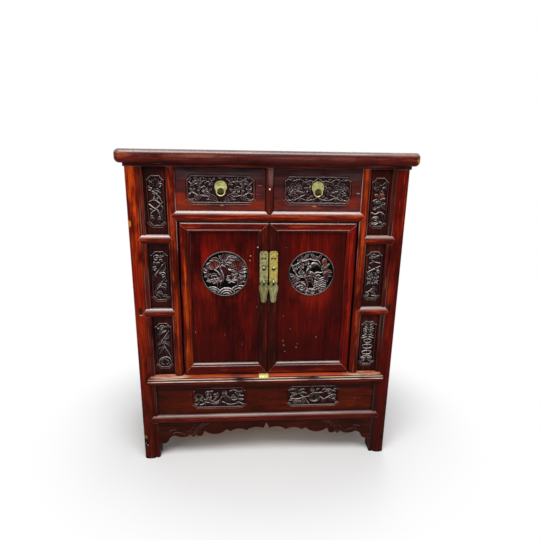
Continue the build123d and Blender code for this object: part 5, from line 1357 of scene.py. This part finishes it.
# %% Right base field
reeds = Field(165, 68)
each(
    reeds.stem,
    ([(-80, 18), (-64, 26), (-48, 20), (-30, 24)], 2.0, 2.4),
    ([(-66, 22), (-44, 6), (-26, -12), (-14, -28)], 2.6, 2.8, 0.8),
    ([(-72, -10), (-50, -12), (-30, -6), (-12, -2), (6, 8), (30, 10), (52, 18), (72, 14)], 2.4, 2.8, 0.9),
)
for tip in ((-76, 12), (-72, 2), (-64, 30), (-52, 31), (-76, -4)):
    reeds.leaf((-50, 8), tip, 3.6, 2.8, bend=0.08, ribs=4)
each(
    reeds.leaf,
    ((-48, 10), (-26, 24), 4.8, 3.0, 0.12), ((-46, 4), (-20, 8), 4.8, 3.0, 0.14),
    ribs=5,
)
reeds.leaf((-40, -8), (-24, -24), 4.6, 2.8, bend=-0.12, ribs=4)
reeds.waves((-58, -30), (20, 15), 4, 3.0)
reeds.ball((-72, -20), (8, 6), 2.8, hollow=0.3)
reeds.leaf((-48, -22), (-28, -30), 4.0, 2.6, bend=0.1, ribs=3)
reeds.ball((4, -4), (17, 14), 2.6)
reeds.fan((4, -18), 24, 0.9, 7, 3.1, cup=0.85, width=0.26)
reeds.stem([(-14, -4), (-10, -16), (4, -21), (18, -16), (22, -4)], 2.2, 3.2, end=0.9)
reeds.blossom((-2, 20), 8, 5, 2.8, start=0.5, cup=0.8)
reeds.leaf((10, 14), (22, 26), 4.4, 2.8, bend=0.12, ribs=3)
reeds.curl((52, 12), 11, 1.3, 2.6, 2.4, 3.0, clockwise=True)
reeds.leaf((30, 10), (44, 26), 4.6, 2.8, bend=0.12, ribs=3)
reeds.curl((66, -6), 10, 1.2, 1.0, 2.4, 3.0, clockwise=True)
reeds.stem([(24, -6), (36, -14), (48, -8), (62, 2), (74, 0)], 2.4, 3.0, end=0.8)
reeds.leaf((34, -13), (30, -28), 4.6, 2.8, bend=0.12, ribs=3)
each(
    reeds.leaf,
    ((44, -10), (40, -24), 5.0, 2.8, -0.12), ((50, -8), (60, -24), 5.0, 2.8, 0.12),
    ribs=4,
)
each(
    reeds.leaf,
    ((62, -18), (78, -22), 4.6, 2.8, 0.12), ((66, 20), (80, 24), 4.0, 2.6, -0.1),
    ribs=3,
)
print("right base field", reeds.shape)

# %% [markdown]
# ## The side carvings
# Six upright fields, three a side, each with its own growth: knotted ribbons with tassels, a long curled
# leaf, a crossed spray, a branch of fruit, a full flower, and a chain of linked scrolls. They are narrow,
# so each is built round one stem that wanders from side to side.

# %% Left column
ribbon = Field(46, 138)
ribbon.fan((0, 40), 22, 0.9, 5, 2.8, cup=0.7)
each(
    ribbon.leaf,
    ((-4, 44), (-17, 58), 4.6, 2.6, 0.15), ((4, 44), (18, 56), 4.6, 2.6, -0.15),
    ribs=3,
)
each(
    ribbon.curl,
    ((14, 42), 7, 1.1, 0.5, 2.0, 2.8), ((-14, 34), 7, 1.2, 2.0, 2.2, 2.9),
)
ribbon.leaf((-6, 30), (16, 22), 5.2, 3.0, bend=0.14, cup=0.5)
ribbon.leaf((-10, 22), (8, 10), 5.2, 3.0, bend=0.14, ribs=4)
ribbon.stem([(-8, 26), (4, 16), (12, 6), (16, -4)], 2.6, 2.8, end=0.8)
ribbon.blossom((0, 8), 8, 5, 3.1, start=0.4, cup=0.8)
each(
    ribbon.stem,
    ([(-18, -2), (-4, 2), (10, -8), (18, -22), (12, -34)], 2.3, 2.8, 0.9),
    ([(18, -4), (8, -14), (-2, -24), (-14, -34), (-17, -44)], 2.6, 3.0, 0.9),
    ([(-19, -10), (-10, -18), (2, -26), (8, -38), (9, -46)], 2.6, 3.2, 0.9),
)
ribbon.leaf((12, -30), (20, -58), 4.2, 2.8, bend=0.1, cup=0.6)
ribbon.leaf((-10, -26), (-19, -20), 3.4, 2.8, bend=0.1)
for u, v in ((-14, -46), (8, -49)):
    each(
        ribbon.leaf,
        ((u - 4, v), (u - 5, v - 12), 2.6, 2.8), ((u + 4, v), (u + 5, v - 12), 2.6, 2.8),
        cup=0.2,
    )
    ribbon.leaf((u, v + 2), (u, v - 15), 4.2, 3.1, ribs=3)
    ribbon.ball((u, v + 3), (4.4, 3.2), 3.2)

curled = Field(46, 146)
curled.curl((-9, 54), 9, 1.3, 0.6, 2.4, 3.0)
curled.leaf((-2, 58), (14, 64), 4.4, 2.8, bend=-0.12, cup=0.5)
each(
    curled.leaf,
    ((-2, 48), (10, 44), 4.4, 2.8, 0.12), ((-14, 44), (-20, 30), 4.4, 2.8, 0.12),
    ((0, 42), (-8, 30), 4.6, 3.0, -0.12),
    ribs=3,
)
curled.stem([(-18, -6), (-12, 6), (0, 20), (8, 32), (16, 38)], 2.6, 2.8, end=0.8)
curled.leaf((-6, 8), (17, 42), 7.0, 3.1, bend=-0.1, cup=0.9, blunt=1.0)
curled.curl((-14, 22), 7, 1.2, 1.4, 2.2, 3.0)
curled.leaf((-12, 4), (-18, -14), 5.0, 2.8, bend=-0.14, cup=0.6)
curled.curl((9, 2), 9, 1.2, 2.6, 2.6, 3.1, clockwise=True)
curled.leaf((10, -4), (20, -16), 5.0, 2.8, bend=-0.14, cup=0.5)
curled.stem([(-18, -54), (-12, -38), (0, -24), (8, -14), (8, -4)], 2.8, 3.0, end=0.8)
curled.leaf((-16, -46), (6, -20), 4.4, 3.2, bend=0.1, cup=0.9, blunt=1.0)
each(
    curled.leaf,
    ((2, -26), (18, -34), 5.4, 2.9, 0.14), ((-2, -34), (16, -48), 5.4, 2.9, 0.14),
    ribs=4,
)
each(
    curled.leaf,
    ((-12, -50), (6, -58), 4.8, 3.0, 0.12), ((-16, -56), (-2, -66), 4.4, 2.8, 0.12),
    ((4, -62), (18, -58), 4.4, 2.8, -0.12),
    cup=0.5,
)

crossed = Field(46, 145)
crossed.curl((-4, 58), 8, 1.2, 0.4, 2.4, 2.9)
crossed.leaf((4, 62), (18, 60), 4.4, 2.7, bend=0.12, cup=0.5)
crossed.leaf((-8, 52), (-19, 58), 4.4, 2.7, bend=0.12, ribs=3)
crossed.leaf((-14, 34), (10, 48), 5.0, 3.0, bend=0.2, cup=0.8)
crossed.leaf((-16, 24), (-10, 42), 4.4, 2.8, bend=0.1, cup=0.6)
crossed.leaf((0, 22), (17, 42), 5.6, 3.1, bend=-0.12, cup=0.8)
crossed.stem([(16, 46), (4, 28), (-6, 14), (-16, 6)], 2.4, 2.9, end=0.8)
crossed.blossom((-2, 12), 9, 6, 3.2, start=0.2, cup=0.8)
crossed.leaf((4, 8), (20, -6), 5.4, 2.9, bend=0.2, cup=0.7)
crossed.leaf((-8, 8), (-20, -2), 4.6, 2.9, bend=-0.14, cup=0.6)
crossed.stem([(-4, 6), (4, -10), (12, -26), (19, -40)], 2.8, 3.0, end=0.8)
crossed.leaf((2, -4), (-18, -32), 6.4, 3.1, bend=-0.16, cup=0.8)
crossed.leaf((4, -14), (6, -36), 5.2, 3.0, bend=0.12, ribs=4)
crossed.stem([(-18, -58), (-12, -46), (2, -40), (14, -44), (19, -56)], 2.6, 3.0, end=0.9)
crossed.leaf((-14, -52), (4, -44), 4.0, 2.8, bend=0.12, cup=0.6)
crossed.fan((0, -66), 20, 1.0, 7, 2.9, cup=0.7)
print("left column", ribbon.shape, curled.shape, crossed.shape)

# %% Right column
fruit = Field(46, 138)
fruit.leaf((6, 44), (-16, 62), 7.4, 2.8, bend=0.18, ribs=6, cup=0.3)
fruit.leaf((4, 42), (18, 60), 6.4, 2.8, bend=-0.14, ribs=5, cup=0.3)
fruit.leaf((2, 40), (-19, 44), 6.0, 3.0, bend=0.16, ribs=5, cup=0.4)
fruit.leaf((6, 40), (20, 36), 5.2, 2.9, bend=0.16, ribs=4)
fruit.stem([(2, 48), (0, 34), (2, 22), (-2, 6), (4, -12), (0, -28)], 2.8, 2.8, end=0.9)
fruit.leaf((0, 34), (10, 22), 4.6, 3.0, bend=0.14, ribs=3)
each(
    fruit.ball,
    ((-9, 19), (6.2, 6.6), 3.2), ((8, 20), (6.8, 6.8), 3.2),
    cleft=True, tint=0.8,
)
each(
    fruit.leaf,
    ((-4, 10), (-19, 4), 5.0, 2.9, 0.14), ((2, 8), (19, 14), 5.2, 2.9, -0.16),
    ribs=4,
)
fruit.ball((-3, -2), (11, 8), 3.0, turn=0.2, scales=3.4)
each(
    fruit.leaf,
    ((6, -4), (20, 0), 5.0, 3.0, -0.12), ((6, -8), (20, -20), 5.6, 3.1, 0.14),
    ((-4, -12), (-18, -18), 5.0, 3.0, 0.14),
    cup=0.6,
)
fruit.ball((0, -18), (6.0, 7.0), 3.2, cleft=True, tint=0.2)
fruit.stem([(-19, -30), (-8, -34), (6, -28), (19, -36)], 2.6, 3.1, end=0.9)
fruit.leaf((10, -32), (17, -54), 5.0, 2.9, bend=0.14, cup=0.5)
fruit.ball((-7, -50), (12, 11), 2.6)
fruit.waves((-7, -52), (12.5, 12), 3, 3.0)
fruit.curl((-6, -48), 7, 1.3, 0.8, 2.2, 3.3)
fruit.leaf((2, -58), (16, -64), 4.0, 2.8, bend=0.12)

flower = Field(46, 146)
flower.leaf((-16, 52), (14, 58), 6.0, 2.9, bend=0.16, cup=0.8)
flower.leaf((-14, 62), (2, 68), 4.0, 2.6, bend=0.12, cup=0.5)
flower.leaf((4, 54), (18, 66), 4.6, 2.8, bend=-0.14, ribs=3)
flower.stem([(-14, 54), (-4, 44), (8, 40), (19, 38)], 2.4, 2.9, end=0.8)
flower.leaf((0, 42), (-14, 36), 4.8, 2.8, bend=0.14, ribs=3)
flower.stem([(19, 28), (8, 22), (-6, 16), (-18, 10)], 2.6, 3.0, end=0.8)
flower.leaf((4, 22), (18, 20), 4.4, 3.0, bend=-0.14, cup=0.5)
flower.leaf((-8, 18), (-16, 28), 4.4, 2.8, bend=0.14, ribs=3)
each(
    flower.blossom,
    ((0, -8), 20, 9, 2.7, 0.3), ((0, -8), 14.5, 8, 3.0, 0.1), ((0, -8), 9, 6, 3.2, 0.4),
    cup=0.85,
)
flower.ball((0, -8), (3.4, 3.4), 3.3, hollow=0.4)
flower.curl((15, 10), 5.5, 1.1, 2.6, 2.0, 3.0, clockwise=True)
flower.curl((-16, 6), 4.5, 1.1, 0.4, 1.8, 3.0)
each(
    flower.leaf,
    ((4, -26), (19, -30), 5.0, 2.9, 0.12), ((-4, -26), (-19, -34), 5.0, 2.9, -0.12),
    ribs=4,
)
flower.stem([(0, -26), (2, -40), (-6, -50), (-17, -54)], 2.6, 3.0, end=0.8)
each(
    flower.leaf,
    ((0, -40), (16, -46), 5.0, 3.0, 0.14), ((-4, -50), (12, -60), 5.2, 3.0, 0.14),
    cup=0.6,
)
flower.curl((-12, -60), 6.5, 1.1, 1.6, 2.2, 3.0)
flower.leaf((0, -64), (18, -66), 3.6, 2.8, bend=-0.1)

chain = Field(46, 145)
for v in (59, 36):
    for chain.side in (1, -1):
        chain.curl((8.5, v), 8, 1.25, 1.9, 2.4, 3.0, clockwise=True)
        chain.stem([(0, v - 10), (8, v - 9), (17, v - 12)], 2.2, 2.9, end=0.8)
    chain.stem([(0, v + 8), (0, v - 14)], 2.4, 3.1, end=1)
chain.side = 1
each(
    chain.stem,
    ([(-18, 16), (-6, 19), (6, 19), (18, 16)], 2.6, 3.0, 0.9), ([(0, 22), (0, -60)], 2.2, 2.4, 1),
)
for v, wide, tall in ((6, 12, 6), (-13, 16, 7), (-34, 15, 6.5)):
    ring = [(wide * math.cos(a), v + tall * math.sin(a)) for a in np.linspace(0, 2 * math.pi, 13)]
    chain.stem(ring, 2.2, 3.1, end=1)
for chain.side in (1, -1):
    chain.stem([(0, -46), (10, -47), (18, -52)], 2.2, 2.9, end=0.8)
    chain.curl((9, -59), 7.5, 1.2, 2.2, 2.3, 3.0, clockwise=True)
print("right column", fruit.shape, flower.shape, chain.shape)

# %% [markdown]
# ## Setting the carvings
# Every field of heights now becomes a piece in its own sunk field, a little in front of the ground that the
# CAD gave it. The carvings of the columns and the base stay with the carcass, those of the drawers slide
# with them, and the medallions swing with their doors.

# %% Carvings of the columns
COLUMN_U, COLUMN_WIDE, PANEL_GROUND = 0.3185, 43, -0.193
LEVELS = (("upper", 0.8395, 135), ("middle", 0.6205, 143), ("lower", 0.398, 142))  # z, and height in mm
for side, middle, fields in (
    ("left", -COLUMN_U, (ribbon, curled, crossed)), ("right", COLUMN_U, (fruit, flower, chain)),
):
    for (level, rise, tall), field in zip(LEVELS, fields):
        raise_carving(
            f"carving_{side}_{level}", field, (middle, rise), PANEL_GROUND, "carcass", side_carving,
            octagon, (COLUMN_WIDE, tall),
        )

# %% Carvings of the drawers, the base and the doors
DRAWER_Z, DRAWER_GROUND, DRAWER_FIELD = 0.87375, -0.199, (183, 69.5)
BASE_U, BASE_Z, BASE_FIELD = 0.152, 0.2125, (162, 65)
DOOR_Z, DOOR_FIELD = 0.627, (131.6, 131.6)
for side, field, middle in (("left", plum, -DRAWER_U), ("right", peony, DRAWER_U)):
    raise_carving(
        f"carving_drawer_{side}", field, (middle, DRAWER_Z), DRAWER_GROUND, f"drawer_{side}",
        drawer_carving, octagon, DRAWER_FIELD,
    )
for side, field, middle in (("left", fans, -BASE_U), ("right", reeds, BASE_U)):
    raise_carving(
        f"carving_base_{side}", field, (middle, BASE_Z), PANEL_GROUND, "carcass", base_carving,
        octagon, BASE_FIELD,
    )
for side, field, middle in (("left", heron, -DOOR_U), ("right", songbird, DOOR_U)):
    raise_carving(
        f"carving_medallion_{side}", field, (middle, DOOR_Z), PANEL_GROUND, f"door_{side}",
        medallion_carving, disc, DOOR_FIELD,
    )

# %% [markdown]
# ## Sheet brass
# Three brass pieces need more shape than flat plate. The hanging pulls are leaves hammered up from behind
# into two ridges that meet in a keel, with a thinned rim. The patch on the ledge follows the ledge over its
# nose. All are bent from one grid: a function says where each point of the sheet goes, a Solidify modifier
# gives it its thickness, and a cylinder drills the pull's eye. Hammering them from thick stock in edit mode
# would take far more steps.

# %% A bent sheet
SHEET_EDGE = 40  # degrees; a sharper bend stays an edge


def bent_sheet(name, across, along, place, thickness, body, finish):
    """A grid bent by place(s, t), with s from -1 to 1 across and t from 0 to 1 along, in metres."""
    bpy.ops.object.select_all(action="DESELECT")
    bpy.ops.mesh.primitive_grid_add(x_subdivisions=across, y_subdivisions=along, size=2)
    sheet = bpy.context.object
    sheet.name = sheet.data.name = name
    flat = np.empty(len(sheet.data.vertices) * 3, np.float32)
    sheet.data.vertices.foreach_get("co", flat)
    flat = flat.reshape(-1, 3)
    bent = np.array([place(float(s), float(1 - t) / 2) for s, t, _ in flat], np.float32)
    sheet.data.vertices.foreach_set("co", bent.ravel())
    bpy.ops.object.mode_set(mode="EDIT")
    bpy.ops.mesh.select_all(action="SELECT")
    bpy.ops.mesh.normals_make_consistent(inside=False)
    bpy.ops.object.mode_set(mode="OBJECT")
    if sum(polygon.normal.y for polygon in sheet.data.polygons) > 0:
        sheet.data.flip_normals()
    solidify = sheet.modifiers.new("thickness", "SOLIDIFY")
    solidify.thickness, solidify.offset = thickness, -1.0
    bpy.ops.object.modifier_apply(modifier=solidify.name)
    bpy.ops.object.shade_smooth_by_angle(angle=math.radians(SHEET_EDGE))
    sheet.data.materials.append(finish)
    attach(sheet, body)
    print(name, len(sheet.data.polygons), "faces")
    return sheet


print("a sheet is smooth where it bends by less than", SHEET_EDGE, "degrees")

# %% The door pulls
PULL_TOP, PULL_FOOT, PULL_HALF = 0.6075, 0.543, 0.0139
PULL_FRONT, PULL_THICK = -0.2157, 0.0022
EYE_Z, EYE_RADIUS = 0.602, 0.0024
RIDGE_RISE, RIDGE_SPREAD = 0.0024, 0.34
PULL_OUTLINE = (  # share of the way down, and share of the full half width
    (0, 0.3), (0.03, 0.5), (0.07, 0.62), (0.12, 0.8), (0.18, 0.95), (0.25, 1.02), (0.34, 1.0), (0.46, 0.9),
    (0.58, 0.76), (0.68, 0.66), (0.76, 0.64), (0.84, 0.65), (0.9, 0.6), (0.95, 0.48), (1, 0.26),
)


def pull_point(side, s, t):
    """A point of a pull's front: two ridges that meet in a keel towards the foot, and a thinned rim."""
    share, wide = zip(*PULL_OUTLINE)
    half = PULL_HALF * float(np.interp(t, share, wide))
    ridge_at = 0.7 * max(0.0, 1 - 1.3 * (t - 0.1))
    ridge = max(0.0, 1 - abs(abs(s) - ridge_at) / RIDGE_SPREAD)
    rise = RIDGE_RISE * (0.25 * (1 - s * s) + 0.75 * ridge) * min(1.0, 4 * (1 - abs(s)) + 0.1)
    rise *= min(1.0, max(0.0, 6 * (t - 0.14)), 12 * (1 - t))
    return side * PLATE_U + half * s, PULL_FRONT - rise, PULL_TOP + (PULL_FOOT - PULL_TOP) * t


for side, sign in (("left", -1), ("right", 1)):
    pull = bent_sheet(
        f"door_{side}_pull_leaf", 28, 56, lambda s, t: pull_point(sign, s, t), PULL_THICK, f"pull_{side}",
        pendant_brass,
    )
    bpy.ops.mesh.primitive_cylinder_add(
        vertices=24, radius=EYE_RADIUS, depth=0.02, location=(sign * PLATE_U, PULL_FRONT, EYE_Z),
        rotation=(math.pi / 2, 0, 0),
    )
    drill = bpy.context.object
    pull.modifiers.new("hole", "BOOLEAN").object = drill
    bpy.context.view_layer.objects.active = pull
    bpy.ops.object.modifier_apply(modifier="hole")
    bpy.data.objects.remove(drill)
    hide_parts(f"door_{side}_pull")
    print(pull.name, "drilled:", len(pull.data.vertices), "points")

# %% Patch on the ledge
PATCH_PATH = (  # share of the way from back to front, y and z
    (0, -0.1935, 0.3009), (0.62, -0.2128, 0.3009), (0.74, -0.2163, 0.2995), (0.86, -0.2188, 0.2968),
    (1, -0.2198, 0.2936),
)
PATCH_U, PATCH_HALF = -0.0115, 0.0146


def patch_point(s, t):
    """A point of the patch, with edges that aren't quite straight."""
    share, y, z = zip(*PATCH_PATH)
    u = PATCH_U + PATCH_HALF * s + 0.0004 * math.sin(11 * t)
    wave = 0.0005 * math.sin(9 * s + 3) * t
    return u, float(np.interp(t, share, y)), float(np.interp(t, share, z)) + wave


patch = bent_sheet("latch_patch", 10, 40, patch_point, 0.0007, "carcass", patch_brass)
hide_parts("latch_plate")

# %% [markdown]
# ## Tendrils on the apron
# Near each end of the apron, thin carved tendrils sweep down to the scallops, rubbed and painted pale along
# their tops, part dust and part highlight.
# They are round strands sunk halfway into the board. A curve with a bevel follows such a line best, and
# becomes a mesh.

# %% Tendrils
TENDRIL_Y, TENDRIL_RADIUS = -0.2019, 0.0010
TENDRILS = (  # u and v in millimetres, on the left half
    ((-188, 122), (-204, 117), (-219, 103), (-230, 89), (-243, 81), (-259, 79)),
    ((-203, 123), (-221, 113), (-233, 99), (-239, 88), (-236, 81), (-229, 82)),
    ((-232, 120), (-239, 108), (-246, 97), (-256, 90)),
    ((-307, 83), (-299, 92), (-286, 93), (-273, 86), (-262, 80)),
    ((-315, 96), (-304, 103), (-290, 101)),
)


def tendril(points, name):
    """A strand through the points that gets thinner towards its end."""
    curve = bpy.data.curves.new(name, "CURVE")
    curve.dimensions, curve.bevel_depth, curve.bevel_resolution = "3D", TENDRIL_RADIUS, 2
    curve.resolution_u, curve.use_fill_caps = 5, True
    spline = curve.splines.new("NURBS")
    spline.points.add(len(points) - 1)
    for k, (point, (u, v)) in enumerate(zip(spline.points, points)):
        point.co = (u / 1000, TENDRIL_Y, v / 1000, 1)
        point.radius = 1.0 - 0.55 * k / len(points)
    spline.order_u, spline.use_endpoint_u = 4, True
    strand = bpy.data.objects.new(name, curve)
    bpy.context.collection.objects.link(strand)
    return strand


# Pale along the tops: dust and a painted highlight, as on all the lacquer.
tendril_wood = lacquer(
    "lacquer_tendril", "x", paint(28, 10, 6), paint(58, 22, 12), paint(120, 76, 54), wear=0.3, edges=0.0,
    film=0.3, pale=0.25, dust=0.2, black=0.6,
)
for side, sign in (("left", 1), ("right", -1)):
    bpy.ops.object.select_all(action="DESELECT")
    strands = [
        tendril([(sign * u, v) for u, v in line], f"tendril_{side}_{k}") for k, line in enumerate(TENDRILS)
    ]
    for strand in strands:
        strand.select_set(True)
    bpy.context.view_layer.objects.active = strands[0]
    bpy.ops.object.convert(target="MESH")
    bpy.ops.object.join()
    tendrils = bpy.context.object
    tendrils.name = tendrils.data.name = f"apron_tendrils_{side}"
    bpy.ops.object.mode_set(mode="EDIT")
    bpy.ops.mesh.select_all(action="SELECT")
    bpy.ops.mesh.remove_doubles(threshold=0.00001)
    bpy.ops.mesh.normals_make_consistent(inside=False)
    bpy.ops.object.mode_set(mode="OBJECT")
    bpy.ops.object.shade_smooth()
    tendrils.data.materials.append(tendril_wood)
    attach(tendrils, "carcass")
    print(tendrils.name, len(tendrils.data.polygons), "faces")

# %% [markdown]
# ## Floor, lamps and world
# The cabinet stands on a plain pale floor under a wide soft light from above and in front, like a shaded
# window, which draws the long pale reflections along the tops of its rounded rails. The white around it
# comes from the world as the camera and glossy surfaces see it, not from more light on the wood, and the
# floor fades into that white away from the cabinet.

# %% Floor
def seen_by_eye(wire):
    """1 for what the camera sees, straight or in or through something, and 0 for what only lights."""
    camera, glossy, through = (
        wire.node("LightPath", output=f"Is {kind} Ray") for kind in ("Camera", "Glossy", "Transmission")
    )
    return camera.most(glossy).most(through)


FLOOR_HALF = 15.0
bpy.ops.object.select_all(action="DESELECT")
bpy.ops.mesh.primitive_plane_add(size=2 * FLOOR_HALF, location=(0, 0, 0))
floor = bpy.context.object
floor.name = "floor"
floor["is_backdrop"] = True
wire, floor_finish, shader = new_finish("floor_paper")
place = wire.node("TexCoord", output="Object")
feed(shader, "Base Color", place.noise(1.2, 2.0, 0.5).mix(paint(240, 240, 240), paint(244, 244, 244)))
shader.inputs["Roughness"].default_value = 0.9
shader.inputs["Specular IOR Level"].default_value = 0.1
seen = seen_by_eye(wire)
white = wire.node("Emission", None, {"Color": (1, 1, 1, 1), "Strength": 1.0})
far_off = place.stretch((1.0, 1.25, 0.0)).length().between(0.42, 0.85)
paper = Wire(wire.tree, shader.outputs[0])
paper_to_white = wire.node("MixShader", None, {0: seen * far_off, 1: paper, 2: white})
wire.tree.links.new(paper_to_white.socket, wire.tree.nodes["Material Output"].inputs["Surface"])
floor.data.materials.append(floor_finish)
print("floor", floor.dimensions[:])

# %% Lamps
def softbox(name, place, aim, wide, high, watts):
    """A rectangular lamp at place, turned to aim."""
    data = bpy.data.lights.new(name, "AREA")
    data.shape, data.size, data.size_y, data.energy = "RECTANGLE", wide, high, watts
    lamp = bpy.data.objects.new(name, data)
    bpy.context.collection.objects.link(lamp)
    towards = (Vector(aim) - Vector(place)).to_track_quat("-Z", "Y")
    lamp.matrix_world = Matrix.Translation(place) @ towards.to_matrix().to_4x4()
    print(name, "lamp of", watts, "W")


softbox("overhead", (-0.1, -1.15, 2.35), (0.0, -0.35, 0.6), 1.9, 1.1, 44)
softbox("window", (-2.2, -2.4, 1.9), (0.0, -0.2, 0.5), 1.2, 1.2, 16)
softbox("behind", (0.8, 2.4, 2.2), (0.0, 0.2, 0.5), 1.6, 1.6, 26)

# %% World
AMBIENT = 0.35
world = bpy.data.worlds.new("studio")
world.use_nodes = True
bpy.context.scene.world = world
sky = Wire(world.node_tree)
background = world.node_tree.nodes["Background"]
background.inputs["Color"].default_value = (1, 1, 1, 1)
feed(background, "Strength", AMBIENT + (1 - AMBIENT) * seen_by_eye(sky))
print("world", AMBIENT, "on the wood, 1 as seen")

# %% Sizes and finish
low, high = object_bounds()
print("visual box", shown(low), "to", shown(high))
